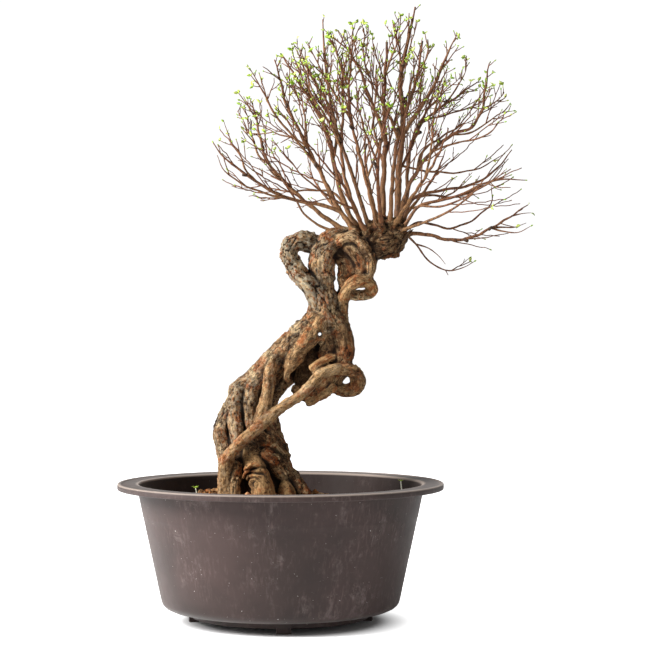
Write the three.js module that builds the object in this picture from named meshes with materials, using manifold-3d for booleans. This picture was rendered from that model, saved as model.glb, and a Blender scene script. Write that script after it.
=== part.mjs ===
// A Chinese elm bonsai with braided roots, standing in its round plastic training pot.
// Millimetres, z up. The shapes are laid out round the pot's axis, with z = 0 under its feet and
// y pointing to the back, and the whole is then set over the middle of its own footprint.
import * as THREE from "three";
import { mergeVertices } from "three/addons/utils/BufferGeometryUtils.js";
import Module from "manifold-3d";

// Driving sizes
const CLEARANCE = 0.3;
const ROUND_SIDES = 36;

const POT = {
  rimRadius: 140,
  height: 119,
  lipDrop: 5.2,
  lipWidth: 3,
  flangeThickness: 3.2,
  mouthRadius: 121.2,
  wallTopRadius: 122.4,
  wallTopHeight: 112,
  wallFootRadius: 102.2,
  wallFootHeight: 18,
  wallThickness: 2.4,
  baseHeight: 9,
  holeRadius: 16,
  ringInnerRadius: 72,
  ringOuterRadius: 76,
  ringHeight: 4.5,
};
const FEET = { count: 4, turn: 3, innerRadius: 70, outerRadius: 79, span: 9.2, steps: 3 };
const DRAINAGE_MESH = { radius: 24, thickness: 1.2, hole: 4.4, pitch: 7.5, holesAcross: 3 };

const SOIL = {
  edgeHeight: 96,
  mound: { x: -8, y: 5, radius: 70, height: 15 },
  heap: { x: -64, y: 8, radius: 15, height: 5 },
  rings: [20, 42, 62, 82, 102],
  grain: 1.3,
  seed: 11,
};

const SEEDLING = { x: 104, y: 20, height: 25, depth: 7, stemRadius: 0.7, leafLength: 4.5 };
const SPROUT = { x: -76, y: 6, height: 9, depth: 6, stemRadius: 0.8, leafLength: 6 };

// Roots and trunk: each strand is a list of [x, y, z, radius], from its upper end to its lower one.
const STRANDS = {
  archStem: [
    [39, 0, 255, 14.5], [37, -1, 272, 13], [36, 0, 286, 10.5], [35, 0, 301, 11], [36, 1, 315, 11],
    [44, 3, 325, 11], [55, 6, 327, 11.5], [66, 6, 321, 11], [73, 5, 310, 9.5], [74, 3, 299, 8],
  ],
  earRim: [
    [47, -6, 303, 3.5], [47, -8, 317, 4], [53, -9, 327, 4], [62, -10, 329, 4], [71, -10, 323, 4.5],
    [76, -9, 312, 4.5], [77, -7, 301, 4.5], [74, -4, 292, 4],
  ],
  earBack: [[64, 8, 315, 8.5], [57, 9, 303, 6.5], [54, 6, 291, 4.5], [54, 3, 277, 4.5], [53, 2, 262, 5]],
  earSheet: [[62, 9, 324, 8], [64, 10, 313, 10], [66, 8, 301, 9.5], [68, 5, 292, 7]],
  lowRingTop: [
    [53, -3, 260, 4.5], [53, -5, 274, 4.5], [56, -8, 283, 4.5], [62, -10, 290, 5.5], [70, -9, 292, 5.5],
    [77, -5, 289, 5], [78, -1, 283, 4.5],
  ],
  lowRingBottom: [
    [77, -4, 288, 4.5], [78, 0, 283, 4.5], [73, 3, 280, 4], [66, 2, 279, 3.5], [58, -3, 281, 4],
  ],
  leftLoop: [
    [42, 6, 320, 8], [31, 7, 323, 8], [20, 5, 326, 8], [11, 1, 325, 7.5], [7, -2, 318, 7.5],
    [9, -4, 308, 7.5], [15, -6, 298, 8], [23, -8, 289, 8], [30, -8, 281, 8.5], [35, -4, 269, 9.5],
  ],
  neck: [[37, 0, 276, 12], [36, 1, 262, 14.5], [34, 3, 248, 15.5]],
  leftLimb: [
    [32, -2, 260, 12], [18, -3, 249, 11.5], [6, -3, 239, 11.5], [-4, -3, 228, 11], [-12, -2, 217, 10.5],
    [-21, 0, 207, 10],
  ],
  innerLimb: [
    [34, -6, 257, 10.5], [24, -8, 244, 8.5], [17, -9, 234, 7.5], [10, -9, 224, 6.5], [5, -8, 215, 4.5],
  ],
  rightLimb: [
    [41, 0, 262, 13], [49, 0, 250, 11], [53, -1, 238, 10], [53, -1, 226, 9], [49, 0, 215, 8.5],
    [41, 0, 205, 8.5], [30, 0, 197, 8], [20, -2, 190, 7], [11, -6, 185, 5], [1, -10, 181, 4.5],
  ],
  hollowBack: [[34, 10, 250, 12], [27, 13, 234, 14], [22, 11, 220, 12], [18, 7, 208, 8.5], [15, 3, 192, 5]],
  finger: [[48, -2, 229, 4.5], [41, -8, 224, 4], [32, -12, 219, 4], [25, -13, 214, 4]],
  diagonal: [
    [55, -5, 215, 4.5], [45, -9, 216, 4.5], [35, -13, 212, 4.5], [25, -16, 201, 4.5], [14, -19, 192, 4.5],
    [1, -22, 184, 4.8], [-11, -25, 174, 5], [-24, -27, 163, 5.2], [-36, -26, 152, 5.5], [-44, -24, 142, 6],
    [-47, -22, 131, 6.2], [-47, -20, 117, 6.5], [-46, -20, 101, 7], [-46, -20, 82, 5],
  ],
  hookLoop: [
    [49, -7, 216, 4.5], [59, -5, 216, 5], [66, -1, 211, 6], [67, 2, 203, 6], [61, 5, 198, 5.5],
    [53, 5, 198, 5], [44, 3, 202, 5],
  ],
  upright: [
    [-6, -8, 229, 7], [-9, -13, 216, 5.5], [-10, -16, 202, 5.5], [-14, -21, 183, 5], [-20, -25, 172, 4],
  ],
  shoulder: [
    [-14, -5, 214, 7], [-22, -8, 204, 6.5], [-26, -10, 193, 6], [-26, -12, 181, 6], [-22, -13, 156, 6],
  ],
  leftOuter: [
    [-14, -1, 215, 8.5], [-26, -3, 206, 8.5], [-35, -5, 200, 8.5], [-38, -8, 191, 7.5], [-39, -11, 179, 6.5],
    [-38, -14, 167, 6], [-36, -16, 154, 5],
  ],
  leftLow: [
    [-35, 0, 194, 7], [-44, -2, 182, 6.5], [-49, -4, 171, 7], [-51, -5, 161, 7], [-49, -7, 150, 6.5],
    [-46, -9, 139, 7], [-42, -10, 128, 7.5], [-41, -10, 113, 7.5], [-40, -10, 92, 7],
  ],
  rightLow: [
    [-16, -4, 179, 7.5], [-11, -4, 167, 7], [-6, -5, 158, 7], [-1, -6, 149, 7], [1, -7, 139, 7],
    [5, -8, 129, 7], [12, -10, 121, 6.5], [18, -12, 112, 7], [22, -12, 100, 7], [23, -12, 83, 5],
  ],
  crossRoot: [[-24, -12, 163, 7], [-16, -14, 156, 7], [-7, -12, 151, 7], [0, -8, 143, 7]],
  underRoot: [
    [-24, -14, 148, 7.5], [-15, -14, 141, 7.5], [-6, -12, 134, 7.5], [4, -10, 123, 7.5], [8, -8, 109, 7.5],
  ],
  middleRoot: [
    [-24, -10, 154, 7.5], [-25, -15, 142, 7.5], [-21, -21, 133, 8], [-17, -25, 123, 9.5], [-14, -27, 112, 10.5],
    [-12, -27, 99, 10], [-11, -26, 80, 7],
  ],
  foldOuter: [
    [-29, -24, 124, 2], [-29, -29, 132, 2], [-22, -31, 137, 2], [-14, -30, 132, 2], [-11, -30, 123, 2],
  ],
  mound: [[3, -18, 119, 4], [5, -20, 113, 7], [6, -20, 103, 8], [7, -20, 86, 5]],
  recess: [
    [-37, -4, 168, 7], [-38, -5, 152, 9], [-36, -8, 137, 9], [-35, -11, 123, 8.5], [-34, -12, 109, 8],
    [-34, -12, 90, 6],
  ],
  core: [
    [-4, 4, 221, 10.5], [-15, 3, 205, 11], [-23, 3, 188, 12], [-28, 3, 169, 13], [-26, 3, 151, 14.5],
    [-21, 2, 134, 17], [-19, 0, 119, 20.5], [-17, 0, 104, 23], [-16, 0, 85, 19],
  ],
  backLimb: [
    [30, 10, 250, 10.5], [18, 12, 236, 9.5], [6, 12, 222, 8.5], [-4, 13, 208, 8.5], [-13, 15, 193, 8.5],
    [-22, 18, 175, 8.5], [-27, 21, 156, 8.5], [-34, 23, 136, 8.5], [-41, 24, 119, 8.5], [-45, 24, 102, 8],
    [-47, 24, 83, 5],
  ],
  backCross: [
    [49, 8, 237, 8.5], [35, 14, 226, 8.5], [18, 17, 217, 8], [2, 17, 206, 7.5], [-8, 18, 194, 7.5],
    [-12, 20, 180, 8], [-8, 22, 163, 8], [-3, 23, 143, 8], [2, 24, 124, 8], [9, 24, 107, 8], [13, 24, 84, 5],
  ],
  backMiddle: [
    [-17, 12, 196, 8.5], [-20, 20, 177, 8.5], [-17, 26, 155, 8.5], [-17, 30, 134, 9], [-19, 33, 113, 9.5],
    [-19, 34, 95, 9], [-19, 34, 78, 5.5],
  ],
  backLoop: [
    [35, 8, 276, 8.5], [46, 14, 265, 7], [51, 18, 252, 6], [49, 19, 236, 6], [41, 18, 222, 6], [28, 16, 212, 6],
  ],
  stub: [[63, 6, 327, 9.5], [73, 6, 327, 13], [85, 4, 327, 16], [97, 2, 328, 14.5], [105, 0, 328, 9]],
  stubCrown: [[80, 4, 333, 12], [90, 2, 338, 9.5], [99, 0, 338, 8.5]],
};
const STRAND_RING = 1.9;
const SUNK_BELOW = 125;
const CONE = 0.45;

// Limbs: centre lines as points [x, z] in the front view, from the stub outwards. Each starts at
// depth y and goes lean millimetres to the back for every millimetre in that view. A fork starts
// at its limb's point number from. A cut end was pruned and has no bud.
const LIMB_SPACING = 13.5;
const LIMB_ROOT = 9;
const TIP_SHARE = 0.3;
const LIMBS = [
  {
    name: "branch_01", y: -2, lean: -0.12, radius: 1.1,
    path: [[42, 336], [30, 341], [20, 350], [11, 364], [2, 378], [-8, 391]],
  },
  {
    name: "branch_02", y: 3, lean: 0.12, radius: 2,
    path: [[52, 337], [34, 350], [16, 365], [1, 380], [-11, 394], [-17, 411], [-20, 425], [-25, 447]],
    forks: [
      { from: 4, lean: 0.2, radius: 1, path: [[-19, 400], [-24, 414], [-33, 431], [-38, 441]] },
      { from: 3, lean: -0.2, radius: 0.8, path: [[-6, 384], [-13, 392], [-20, 399]] },
      { from: 3, lean: 0.5, radius: 0.8, path: [[-3, 390], [-9, 398], [-11, 407]] },
    ],
  },
  {
    name: "branch_03", y: -5, lean: -0.1, radius: 1.9,
    path: [[61, 337], [52, 350], [38, 356], [16, 360], [-3, 366], [-20, 376], [-37, 388], [-51, 400], [-57, 409]],
    forks: [
      { from: 3, lean: -0.3, radius: 1.1, path: [[-9, 365], [-33, 374], [-48, 386], [-53, 397]] },
      { from: 5, lean: 0.1, radius: 0.9, path: [[-30, 387], [-35, 400], [-43, 412], [-48, 428]] },
    ],
  },
  {
    name: "branch_04", y: 0, lean: -0.1, radius: 2.1,
    path: [[64, 335], [51, 352], [41, 371], [32, 389], [23, 406], [13, 426], [4, 445], [0, 463], [-5, 480]],
    forks: [
      { from: 3, lean: -0.25, radius: 1.3, path: [[20, 404], [8, 418], [-4, 432], [-13, 449], [-25, 470]] },
      { from: 4, lean: 0.2, radius: 0.8, path: [[14, 413], [-2, 418], [-20, 427]] },
      { from: 4, lean: 0.3, radius: 0.9, path: [[22, 418], [20, 436], [17, 456]] },
    ],
  },
  {
    name: "branch_05", y: 6, lean: 0.1, radius: 2.3,
    path: [[68, 335], [58, 352], [50, 375], [45, 398], [40, 420], [28, 445], [13, 469], [1, 489]],
    forks: [
      { from: 1, lean: 0.15, radius: 1.1, path: [[46, 368], [28, 371], [8, 370], [-10, 373], [-23, 377]] },
      { from: 3, lean: 0.25, radius: 1.4, path: [[48, 416], [45, 438], [33, 460], [22, 482], [16, 496]] },
    ],
  },
  {
    name: "branch_06", y: -3, lean: -0.18, radius: 1.8, cut: true,
    path: [[72, 334], [62, 358], [55, 380], [52, 404], [53, 428], [53, 452], [52, 480]],
    forks: [
      { from: 3, lean: -0.3, radius: 1.1, path: [[44, 422], [32, 440], [20, 460], [10, 484]] },
      { from: 5, lean: -0.1, radius: 0.9, path: [[57, 466], [61, 480], [66, 495]] },
    ],
  },
  {
    name: "branch_07", y: 9, lean: 0.22, radius: 1.9,
    path: [[77, 335], [70, 358], [62, 384], [53, 410], [46, 432], [42, 455], [39, 478], [37, 502], [36, 525]],
    forks: [{ from: 4, lean: 0.3, radius: 1, path: [[36, 446], [26, 464], [19, 484], [13, 504]] }],
  },
  {
    name: "branch_08", y: -6, lean: -0.28, radius: 1.7,
    path: [[82, 341], [75, 370], [67, 400], [60, 428], [58, 452], [60, 476], [61, 499]],
    forks: [
      { from: 4, lean: -0.2, radius: 0.9, path: [[52, 468], [47, 484], [43, 498]] },
      { from: 3, lean: -0.4, radius: 1, path: [[50, 442], [40, 458], [31, 474], [24, 488]] },
    ],
  },
  {
    name: "branch_09", y: 3, lean: 0.06, radius: 2.6, cut: true,
    path: [[88, 344], [88, 370], [89, 392], [90, 413], [89, 430], [89, 448], [90, 470], [92, 499]],
    forks: [
      { from: 3, lean: -0.2, radius: 1.7, path: [[84, 432], [76, 450], [69, 470], [60, 486], [45, 500]] },
      { from: 2, lean: 0.3, radius: 1.1, path: [[83, 412], [80, 431], [82, 452], [83, 482]], cut: true },
      { from: 6, lean: -0.2, radius: 0.8, path: [[95, 484], [100, 498], [98, 513]] },
    ],
  },
  {
    name: "branch_10", y: -6, lean: -0.16, radius: 1.9, cut: true,
    path: [[94, 343], [95, 368], [97, 392], [100, 412], [106, 432], [112, 450], [117, 470], [120, 494]],
    forks: [
      { from: 6, lean: -0.2, radius: 0.9, path: [[124, 480], [125, 495]], cut: true },
      { from: 3, lean: -0.3, radius: 1, path: [[93, 430], [84, 446], [76, 462], [70, 482], [73, 501]] },
    ],
  },
  {
    name: "branch_11", y: 4, lean: 0.03, radius: 3.1,
    path: [[101, 343], [101, 368], [102, 392], [105, 418], [105, 440], [103, 464], [107, 488], [112, 510], [116, 529]],
    forks: [
      { from: 3, lean: -0.1, radius: 1.9, path: [[114, 432], [124, 447], [133, 463], [140, 480], [151, 503]] },
      { from: 5, lean: 0.15, radius: 0.9, path: [[103, 484], [102, 505], [104, 522]] },
      { from: 2, lean: 0.15, radius: 1, path: [[120, 388], [141, 386], [160, 387], [178, 393], [193, 403]] },
    ],
  },
  {
    name: "branch_12", y: -4, lean: -0.14, radius: 2,
    path: [[102, 345], [107, 366], [117, 386], [129, 402], [146, 416], [162, 422], [171, 436], [174, 455], [177, 476]],
    forks: [
      { from: 6, lean: 0.1, radius: 0.8, path: [[177, 440], [187, 447], [190, 451]] },
      { from: 4, lean: 0.1, radius: 0.8, path: [[162, 418], [178, 428], [188, 435], [199, 437]] },
      { from: 3, lean: -0.3, radius: 0.9, path: [[146, 408], [162, 411], [175, 415], [187, 427], [198, 433]] },
      { from: 2, lean: 0.3, radius: 1.3, path: [[121, 402], [137, 415], [158, 428]], cut: true },
    ],
  },
  {
    name: "branch_13", y: 10.5, lean: 0.2, radius: 1.9,
    path: [[103, 342], [109, 366], [110, 390], [114, 414], [126, 434], [143, 447], [160, 459], [173, 469]],
    forks: [
      { from: 4, lean: 0.3, radius: 0.9, path: [[143, 438], [160, 444], [175, 450], [183, 463]] },
      { from: 3, lean: 0.35, radius: 1.1, path: [[120, 430], [134, 450], [148, 464], [158, 474]] },
      { from: 5, lean: 0.1, radius: 0.8, path: [[154, 463], [161, 476], [163, 487]] },
    ],
  },
  {
    name: "branch_14", y: 0, lean: 0.12, radius: 1.6,
    path: [[106, 345], [114, 363], [137, 370], [160, 374], [176, 381], [190, 393], [200, 406]],
    forks: [{ from: 1, lean: 0.3, radius: 1.1, path: [[126, 366], [150, 365], [169, 372], [186, 382], [195, 396]] }],
  },
  {
    name: "branch_15", y: -8, lean: -0.12, radius: 1.5,
    path: [[106, 339], [119, 356], [140, 361], [158, 367], [174, 375], [192, 378], [208, 377]],
    forks: [{ from: 1, lean: -0.4, radius: 1, path: [[137, 355], [154, 361], [168, 369], [182, 377], [189, 384]] }],
  },
  {
    name: "branch_16", y: 7.5, lean: 0.2, radius: 1.2,
    path: [[106, 335], [120, 343], [145, 338], [162, 343], [175, 352], [184, 363], [183, 375]],
  },
  {
    name: "branch_17", y: -2, lean: -0.1, radius: 1.7,
    path: [[108, 332.5], [124, 332], [145, 327], [163, 329], [180, 337], [197, 347], [211, 357]],
    forks: [
      { from: 5, lean: 0.2, radius: 0.8, path: [[205, 349], [214, 350]] },
      { from: 4, lean: 0.3, radius: 0.8, path: [[190, 338], [202, 338], [211, 342]] },
      { from: 4, lean: -0.3, radius: 0.8, path: [[190, 334], [202, 333], [213, 338]] },
    ],
  },
  {
    name: "branch_18", y: 2, lean: 0.1, radius: 0.9,
    path: [[109, 331], [116, 324], [129, 308], [145, 301], [158, 304], [167, 309]],
    forks: [{ from: 1, lean: -0.3, radius: 0.7, path: [[127, 320], [135, 314], [141, 306]] }],
  },
  {
    name: "branch_19", y: -11, lean: -0.9, radius: 1.6,
    path: [[72, 336], [63, 352], [54, 370], [46, 388], [40, 406]],
    forks: [{ from: 1, lean: -0.7, radius: 1.1, path: [[50, 357], [35, 366], [20, 377], [8, 391]] }],
  },
  {
    name: "branch_20", y: -13, lean: -1, radius: 1.8,
    path: [[86, 341], [83, 364], [82, 388], [85, 410], [90, 430]],
    forks: [{ from: 2, lean: -0.4, radius: 1, path: [[74, 406], [67, 426], [64, 446]] }],
  },
  {
    name: "branch_21", y: -12, lean: -0.95, radius: 1.6,
    path: [[98, 341], [110, 360], [122, 378], [132, 396], [139, 414]],
    forks: [{ from: 2, lean: -0.4, radius: 1, path: [[126, 400], [127, 422], [131, 444]] }],
  },
  {
    name: "branch_22", y: -12, lean: -0.7, radius: 1.4,
    path: [[103, 335], [122, 341], [141, 349], [158, 361], [170, 375]],
  },
  {
    name: "branch_23", y: 13, lean: 0.85, radius: 1.6,
    path: [[70, 335], [57, 347], [44, 361], [32, 377], [23, 394]],
    forks: [{ from: 2, lean: 0.5, radius: 1, path: [[38, 380], [33, 400], [31, 420]] }],
  },
  {
    name: "branch_24", y: 14, lean: 1, radius: 1.8,
    path: [[86, 339], [80, 362], [76, 386], [74, 408], [75, 430]],
    forks: [{ from: 2, lean: 0.4, radius: 1, path: [[84, 408], [90, 430], [93, 452]] }],
  },
  {
    name: "branch_25", y: 12, lean: 0.9, radius: 1.6,
    path: [[99, 338], [113, 356], [127, 374], [139, 393], [147, 412]],
    forks: [{ from: 1, lean: 0.6, radius: 1.1, path: [[132, 362], [152, 372], [168, 386]] }],
  },
];

// Twigs: small side shoots that leave a limb by turns on all sides and bend outwards as they grow.
const TWIG = {
  bare: 52,
  spacing: 18.5,
  step: 7,
  angle: 34,
  angleSpread: 16,
  turn: 137.5,
  outward: 0.1,
  rise: 0.035,
  jitter: 0.07,
  reach: 0.55,
  reachExtra: 16,
  radiusShare: 0.5,
  leastRadius: 0.55,
  tipRadius: 0.4,
  tries: 4,
  clear: 1.1,
};
const BUD = { length: 5, radius: 1.3 };

// The crown's outline in the front view: [degrees from upright towards +x, distance from its centre].
const CROWN_CENTRE = new THREE.Vector3(88, 0, 340);
const CROWN_OUTLINE = [
  [-180, 80], [-110, 95], [-85, 128], [-65, 161], [-50, 170], [-30, 177], [-10, 178], [8, 186],
  [22, 173], [37, 159], [47, 151], [60, 131], [83, 128], [112, 84], [180, 80],
];
const CROWN_DEPTH = 128;

const wasm = await Module();
wasm.setup();

const UP = new THREE.Vector3(0, 0, 1);

// Solids: closed geometries joined and cut as manifolds
function toSolid(geometry) {
  const bare = geometry.clone();
  Object.keys(bare.attributes)
    .filter((name) => name !== "position")
    .forEach((name) => bare.deleteAttribute(name));
  const merged = mergeVertices(bare, 1e-4);
  const corners = merged.index.array;
  const whole = [];
  for (let i = 0; i < corners.length; i += 3) {
    const [a, b, c] = corners.slice(i, i + 3);
    if (a !== b && b !== c && c !== a) {
      whole.push(a, b, c);
    }
  }
  return new wasm.Manifold(new wasm.Mesh({
    numProp: 3,
    vertProperties: new Float32Array(merged.attributes.position.array),
    triVerts: new Uint32Array(whole),
  }));
}

function toGeometry(solid) {
  const mesh = solid.getMesh();
  const geometry = new THREE.BufferGeometry();
  geometry.setAttribute("position", new THREE.BufferAttribute(mesh.vertProperties, 3));
  geometry.setIndex(new THREE.BufferAttribute(mesh.triVerts, 1));
  geometry.computeVertexNormals();
  return geometry;
}

function fuse(solids) {
  return solids.reduce((whole, solid) => whole.add(solid));
}

// Keeps the largest body of a solid that a cut has left in several.
function largest(solid) {
  return solid.decompose().sort((a, b) => b.volume() - a.volume())[0];
}

// Seeded random numbers from 0 to 1
function makeRandom(seed) {
  let state = (seed * 2654435761) % 4294967296;
  const draw = () => {
    state = (state * 1664525 + 1013904223) % 4294967296;
    return state / 4294967296;
  };
  draw();
  draw();
  return draw;
}

// Points [x, y, z, radius] laid again at equal steps along their smooth curve
function resample(points, steps) {
  const centres = points.map(([x, y, z]) => new THREE.Vector3(x, y, z));
  const curve = new THREE.CatmullRomCurve3(centres, false, "centripetal");
  return Array.from({ length: steps + 1 }, (_, i) => {
    const share = curve.getUtoTmapping(i / steps);
    const place = share * (points.length - 1);
    const index = Math.min(Math.floor(place), points.length - 2);
    const radius = THREE.MathUtils.lerp(points[index][3], points[index + 1][3], place - index);
    return [...curve.getPoint(share).toArray(), radius];
  });
}

// A closed tube with a ring of corners at each [x, y, z, radius] point and a low cone on each end
function tube(points, sides, tipLength, rootLength = points[0][3] * CONE) {
  const centres = points.map(([x, y, z]) => new THREE.Vector3(x, y, z));
  const last = centres.length - 1;
  const tangents = centres.map((_, i) => (
    centres[Math.min(i + 1, last)].clone().sub(centres[Math.max(i - 1, 0)]).normalize()
  ));
  const positions = [];
  const indices = [];
  const normal = new THREE.Vector3(0, 1, 0);
  if (Math.abs(tangents[0].y) > 0.9) {
    normal.set(1, 0, 0);
  }
  centres.forEach((centre, i) => {
    normal.addScaledVector(tangents[i], -normal.dot(tangents[i])).normalize();
    const across = tangents[i].clone().cross(normal);
    for (let k = 0; k < sides; k += 1) {
      const angle = (k / sides) * 2 * Math.PI;
      const corner = centre.clone()
        .addScaledVector(normal, Math.cos(angle) * points[i][3])
        .addScaledVector(across, Math.sin(angle) * points[i][3]);
      positions.push(...corner.toArray());
    }
  });
  for (let i = 0; i < last; i += 1) {
    for (let k = 0; k < sides; k += 1) {
      const a = i * sides + k;
      const b = i * sides + ((k + 1) % sides);
      indices.push(a, b, a + sides, b, b + sides, a + sides);
    }
  }
  [0, last].forEach((ring) => {
    const reach = ring === 0 ? -rootLength : tipLength ?? points[last][3] * CONE;
    const apex = positions.length / 3;
    positions.push(...centres[ring].clone().addScaledVector(tangents[ring], reach).toArray());
    for (let k = 0; k < sides; k += 1) {
      const a = ring * sides + k;
      const b = ring * sides + ((k + 1) % sides);
      indices.push(...(ring === 0 ? [apex, b, a] : [apex, a, b]));
    }
  });
  const geometry = new THREE.BufferGeometry();
  geometry.setAttribute("position", new THREE.Float32BufferAttribute(positions, 3));
  geometry.setIndex(indices);
  return geometry;
}

function lathe(profile) {
  const outline = profile.map(([radius, z]) => new THREE.Vector2(radius, z));
  const geometry = new THREE.LatheGeometry(outline, ROUND_SIDES);
  geometry.rotateX(Math.PI / 2);
  return geometry;
}

// Pot
function innerRadius(z) {
  const slope = (POT.wallTopRadius - POT.wallFootRadius) / (POT.wallTopHeight - POT.wallFootHeight);
  return POT.wallFootRadius + (z - POT.wallFootHeight) * slope - POT.wallThickness;
}

function potBody() {
  const lipInside = POT.rimRadius - POT.lipWidth;
  const flangeBottom = POT.height - POT.flangeThickness;
  const floor = POT.baseHeight + POT.wallThickness;
  const profile = [
    [POT.holeRadius, POT.baseHeight],
    [POT.ringInnerRadius, POT.baseHeight],
    [POT.ringInnerRadius, POT.ringHeight],
    [POT.ringOuterRadius, POT.ringHeight],
    [POT.ringOuterRadius, POT.baseHeight],
    [97, POT.baseHeight + 2.5],
    [POT.wallFootRadius, POT.wallFootHeight],
    [POT.wallTopRadius, POT.wallTopHeight],
    [POT.wallTopRadius + 1.6, flangeBottom],
    [lipInside, flangeBottom],
    [lipInside, POT.height - POT.lipDrop],
    [POT.rimRadius, POT.height - POT.lipDrop],
    [POT.rimRadius, POT.height - 1],
    [POT.rimRadius - 1.4, POT.height],
    [POT.mouthRadius + 2.8, POT.height - 0.4],
    [POT.mouthRadius, POT.height - 2.5],
    [innerRadius(POT.wallTopHeight - 1), POT.wallTopHeight - 1],
    [innerRadius(POT.wallFootHeight + 1), POT.wallFootHeight + 1],
    [95, floor + 2],
    [80, floor],
    [POT.holeRadius, floor],
  ];
  profile.push(profile[0]);
  const feet = Array.from({ length: FEET.count }, (_, index) => {
    const middle = THREE.MathUtils.degToRad(FEET.turn + (index * 360) / FEET.count);
    const half = THREE.MathUtils.degToRad(FEET.span / 2);
    const shape = new THREE.Shape();
    shape.absarc(0, 0, FEET.outerRadius, middle - half, middle + half, false);
    shape.absarc(0, 0, FEET.innerRadius, middle + half, middle - half, true);
    shape.closePath();
    return toSolid(new THREE.ExtrudeGeometry(shape, {
      depth: POT.ringHeight + 1,
      bevelEnabled: false,
      curveSegments: FEET.steps,
    }));
  });
  return fuse([toSolid(lathe(profile)), ...feet]);
}

// Drainage mesh over the hole in the pot's floor
function drainageMeshBody() {
  const { radius, hole, pitch, holesAcross, thickness } = DRAINAGE_MESH;
  const height = POT.baseHeight + POT.wallThickness + CLEARANCE + thickness / 2;
  const disc = new THREE.CylinderGeometry(radius, radius, thickness, 20);
  disc.rotateX(Math.PI / 2);
  disc.translate(0, 0, height);
  const first = (-(holesAcross - 1) / 2) * pitch;
  let body = toSolid(disc);
  for (let row = 0; row < holesAcross; row += 1) {
    for (let column = 0; column < holesAcross; column += 1) {
      const gap = new THREE.BoxGeometry(hole, hole, thickness * 3);
      gap.translate(first + column * pitch, first + row * pitch, height);
      body = body.subtract(toSolid(gap));
    }
  }
  return body;
}

// Soil: fills the pot and rises in a mound round the roots
function moundShare(x, y, { x: middleX, y: middleY, radius }) {
  const distance = Math.hypot(x - middleX, y - middleY) / radius;
  return Math.exp(-(distance ** 3));
}

function soilHeight(x, y) {
  const { edgeHeight, mound, heap } = SOIL;
  return edgeHeight + mound.height * moundShare(x, y, mound) + heap.height * moundShare(x, y, heap);
}

function soilBody() {
  const floor = POT.baseHeight + POT.wallThickness + CLEARANCE;
  const meshTop = floor + DRAINAGE_MESH.thickness + CLEARANCE;
  const profile = [
    [0, meshTop],
    [DRAINAGE_MESH.radius + CLEARANCE, meshTop],
    [DRAINAGE_MESH.radius + CLEARANCE, floor],
    [79.7, floor],
    [94.6, floor + 2],
    [innerRadius(POT.wallFootHeight + 1) - CLEARANCE, POT.wallFootHeight + 1],
    [innerRadius(SOIL.edgeHeight) - CLEARANCE, SOIL.edgeHeight],
    ...SOIL.rings.slice().reverse().map((radius) => [radius, POT.height]),
    [0, POT.height],
  ];
  const geometry = lathe(profile);
  const random = makeRandom(SOIL.seed);
  const place = geometry.attributes.position;
  const heights = new Map();
  for (let i = 0; i < place.count; i += 1) {
    if (place.getZ(i) === POT.height) {
      const x = place.getX(i);
      const y = place.getY(i);
      const key = `${Math.round(x * 100)},${Math.round(y * 100)}`;
      if (!heights.has(key)) {
        heights.set(key, soilHeight(x, y) + (random() * 2 - 1) * SOIL.grain);
      }
      place.setZ(i, heights.get(key));
    }
  }
  return toSolid(geometry);
}

// Trunk and roots
function strandSides(points) {
  const thickest = Math.max(...points.map((point) => point[3]));
  if (thickest > 12) {
    return 8;
  }
  return thickest > 3 ? 6 : 5;
}

function strandSteps(points) {
  const length = points.slice(1).reduce((sum, point, index) => {
    const before = points[index];
    return sum + Math.hypot(point[0] - before[0], point[1] - before[1], point[2] - before[2]);
  }, 0);
  const mean = points.reduce((sum, point) => sum + point[3], 0) / points.length;
  return Math.max(3, Math.round(length / (mean * STRAND_RING)));
}

// The corners stand out a little, so that the flat sides leave a strand its full girth.
function strandSolid(points, swell = 0) {
  const sides = strandSides(points);
  const girth = Math.sqrt((2 * Math.PI) / (sides * Math.sin((2 * Math.PI) / sides)));
  const rings = resample(points, strandSteps(points));
  rings.forEach((ring) => {
    ring[3] = ring[3] * girth + swell;
  });
  const rootLength = rings[0][3] * CONE + swell;
  const tipLength = rings[rings.length - 1][3] * CONE + swell;
  return toSolid(tube(rings, sides, tipLength, rootLength));
}

function trunkBody() {
  return fuse(Object.values(STRANDS).map((points) => strandSolid(points)));
}

// The same strands a clearance larger, to seat the soil and the branches against them
function swollen(names) {
  return fuse(names.map((name) => strandSolid(STRANDS[name], CLEARANCE * 1.2)));
}

// Branches
function limbPoints(path, y, lean) {
  let travelled = 0;
  return path.map(([x, z], i) => {
    const [lastX, lastZ] = path[Math.max(i - 1, 0)];
    travelled += Math.hypot(x - lastX, z - lastZ);
    return new THREE.Vector3(x, y + lean * travelled, z);
  });
}

// Evenly spaced places along a limb: { point, direction, along } for each
function samplePath(points, spacing) {
  const curve = new THREE.CatmullRomCurve3(points, false, "centripetal");
  const length = curve.getLength();
  const steps = Math.max(2, Math.round(length / spacing));
  return Array.from({ length: steps + 1 }, (_, i) => ({
    point: curve.getPointAt(i / steps),
    direction: curve.getTangentAt(i / steps),
    along: (length * i) / steps,
  }));
}

function crownRadius(direction) {
  const heading = THREE.MathUtils.radToDeg(Math.atan2(direction.x, direction.z));
  const next = Math.max(1, CROWN_OUTLINE.findIndex(([angle]) => angle >= heading));
  const [lowAngle, lowRadius] = CROWN_OUTLINE[next - 1];
  const [highAngle, highRadius] = CROWN_OUTLINE[next];
  const across = THREE.MathUtils.mapLinear(heading, lowAngle, highAngle, lowRadius, highRadius);
  const depth = direction.y ** 2;
  return 1 / Math.sqrt((1 - depth) / across ** 2 + depth / CROWN_DEPTH ** 2);
}

function crownShare(point) {
  const offset = point.clone().sub(CROWN_CENTRE);
  const distance = offset.length();
  return distance / crownRadius(offset.normalize());
}

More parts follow.
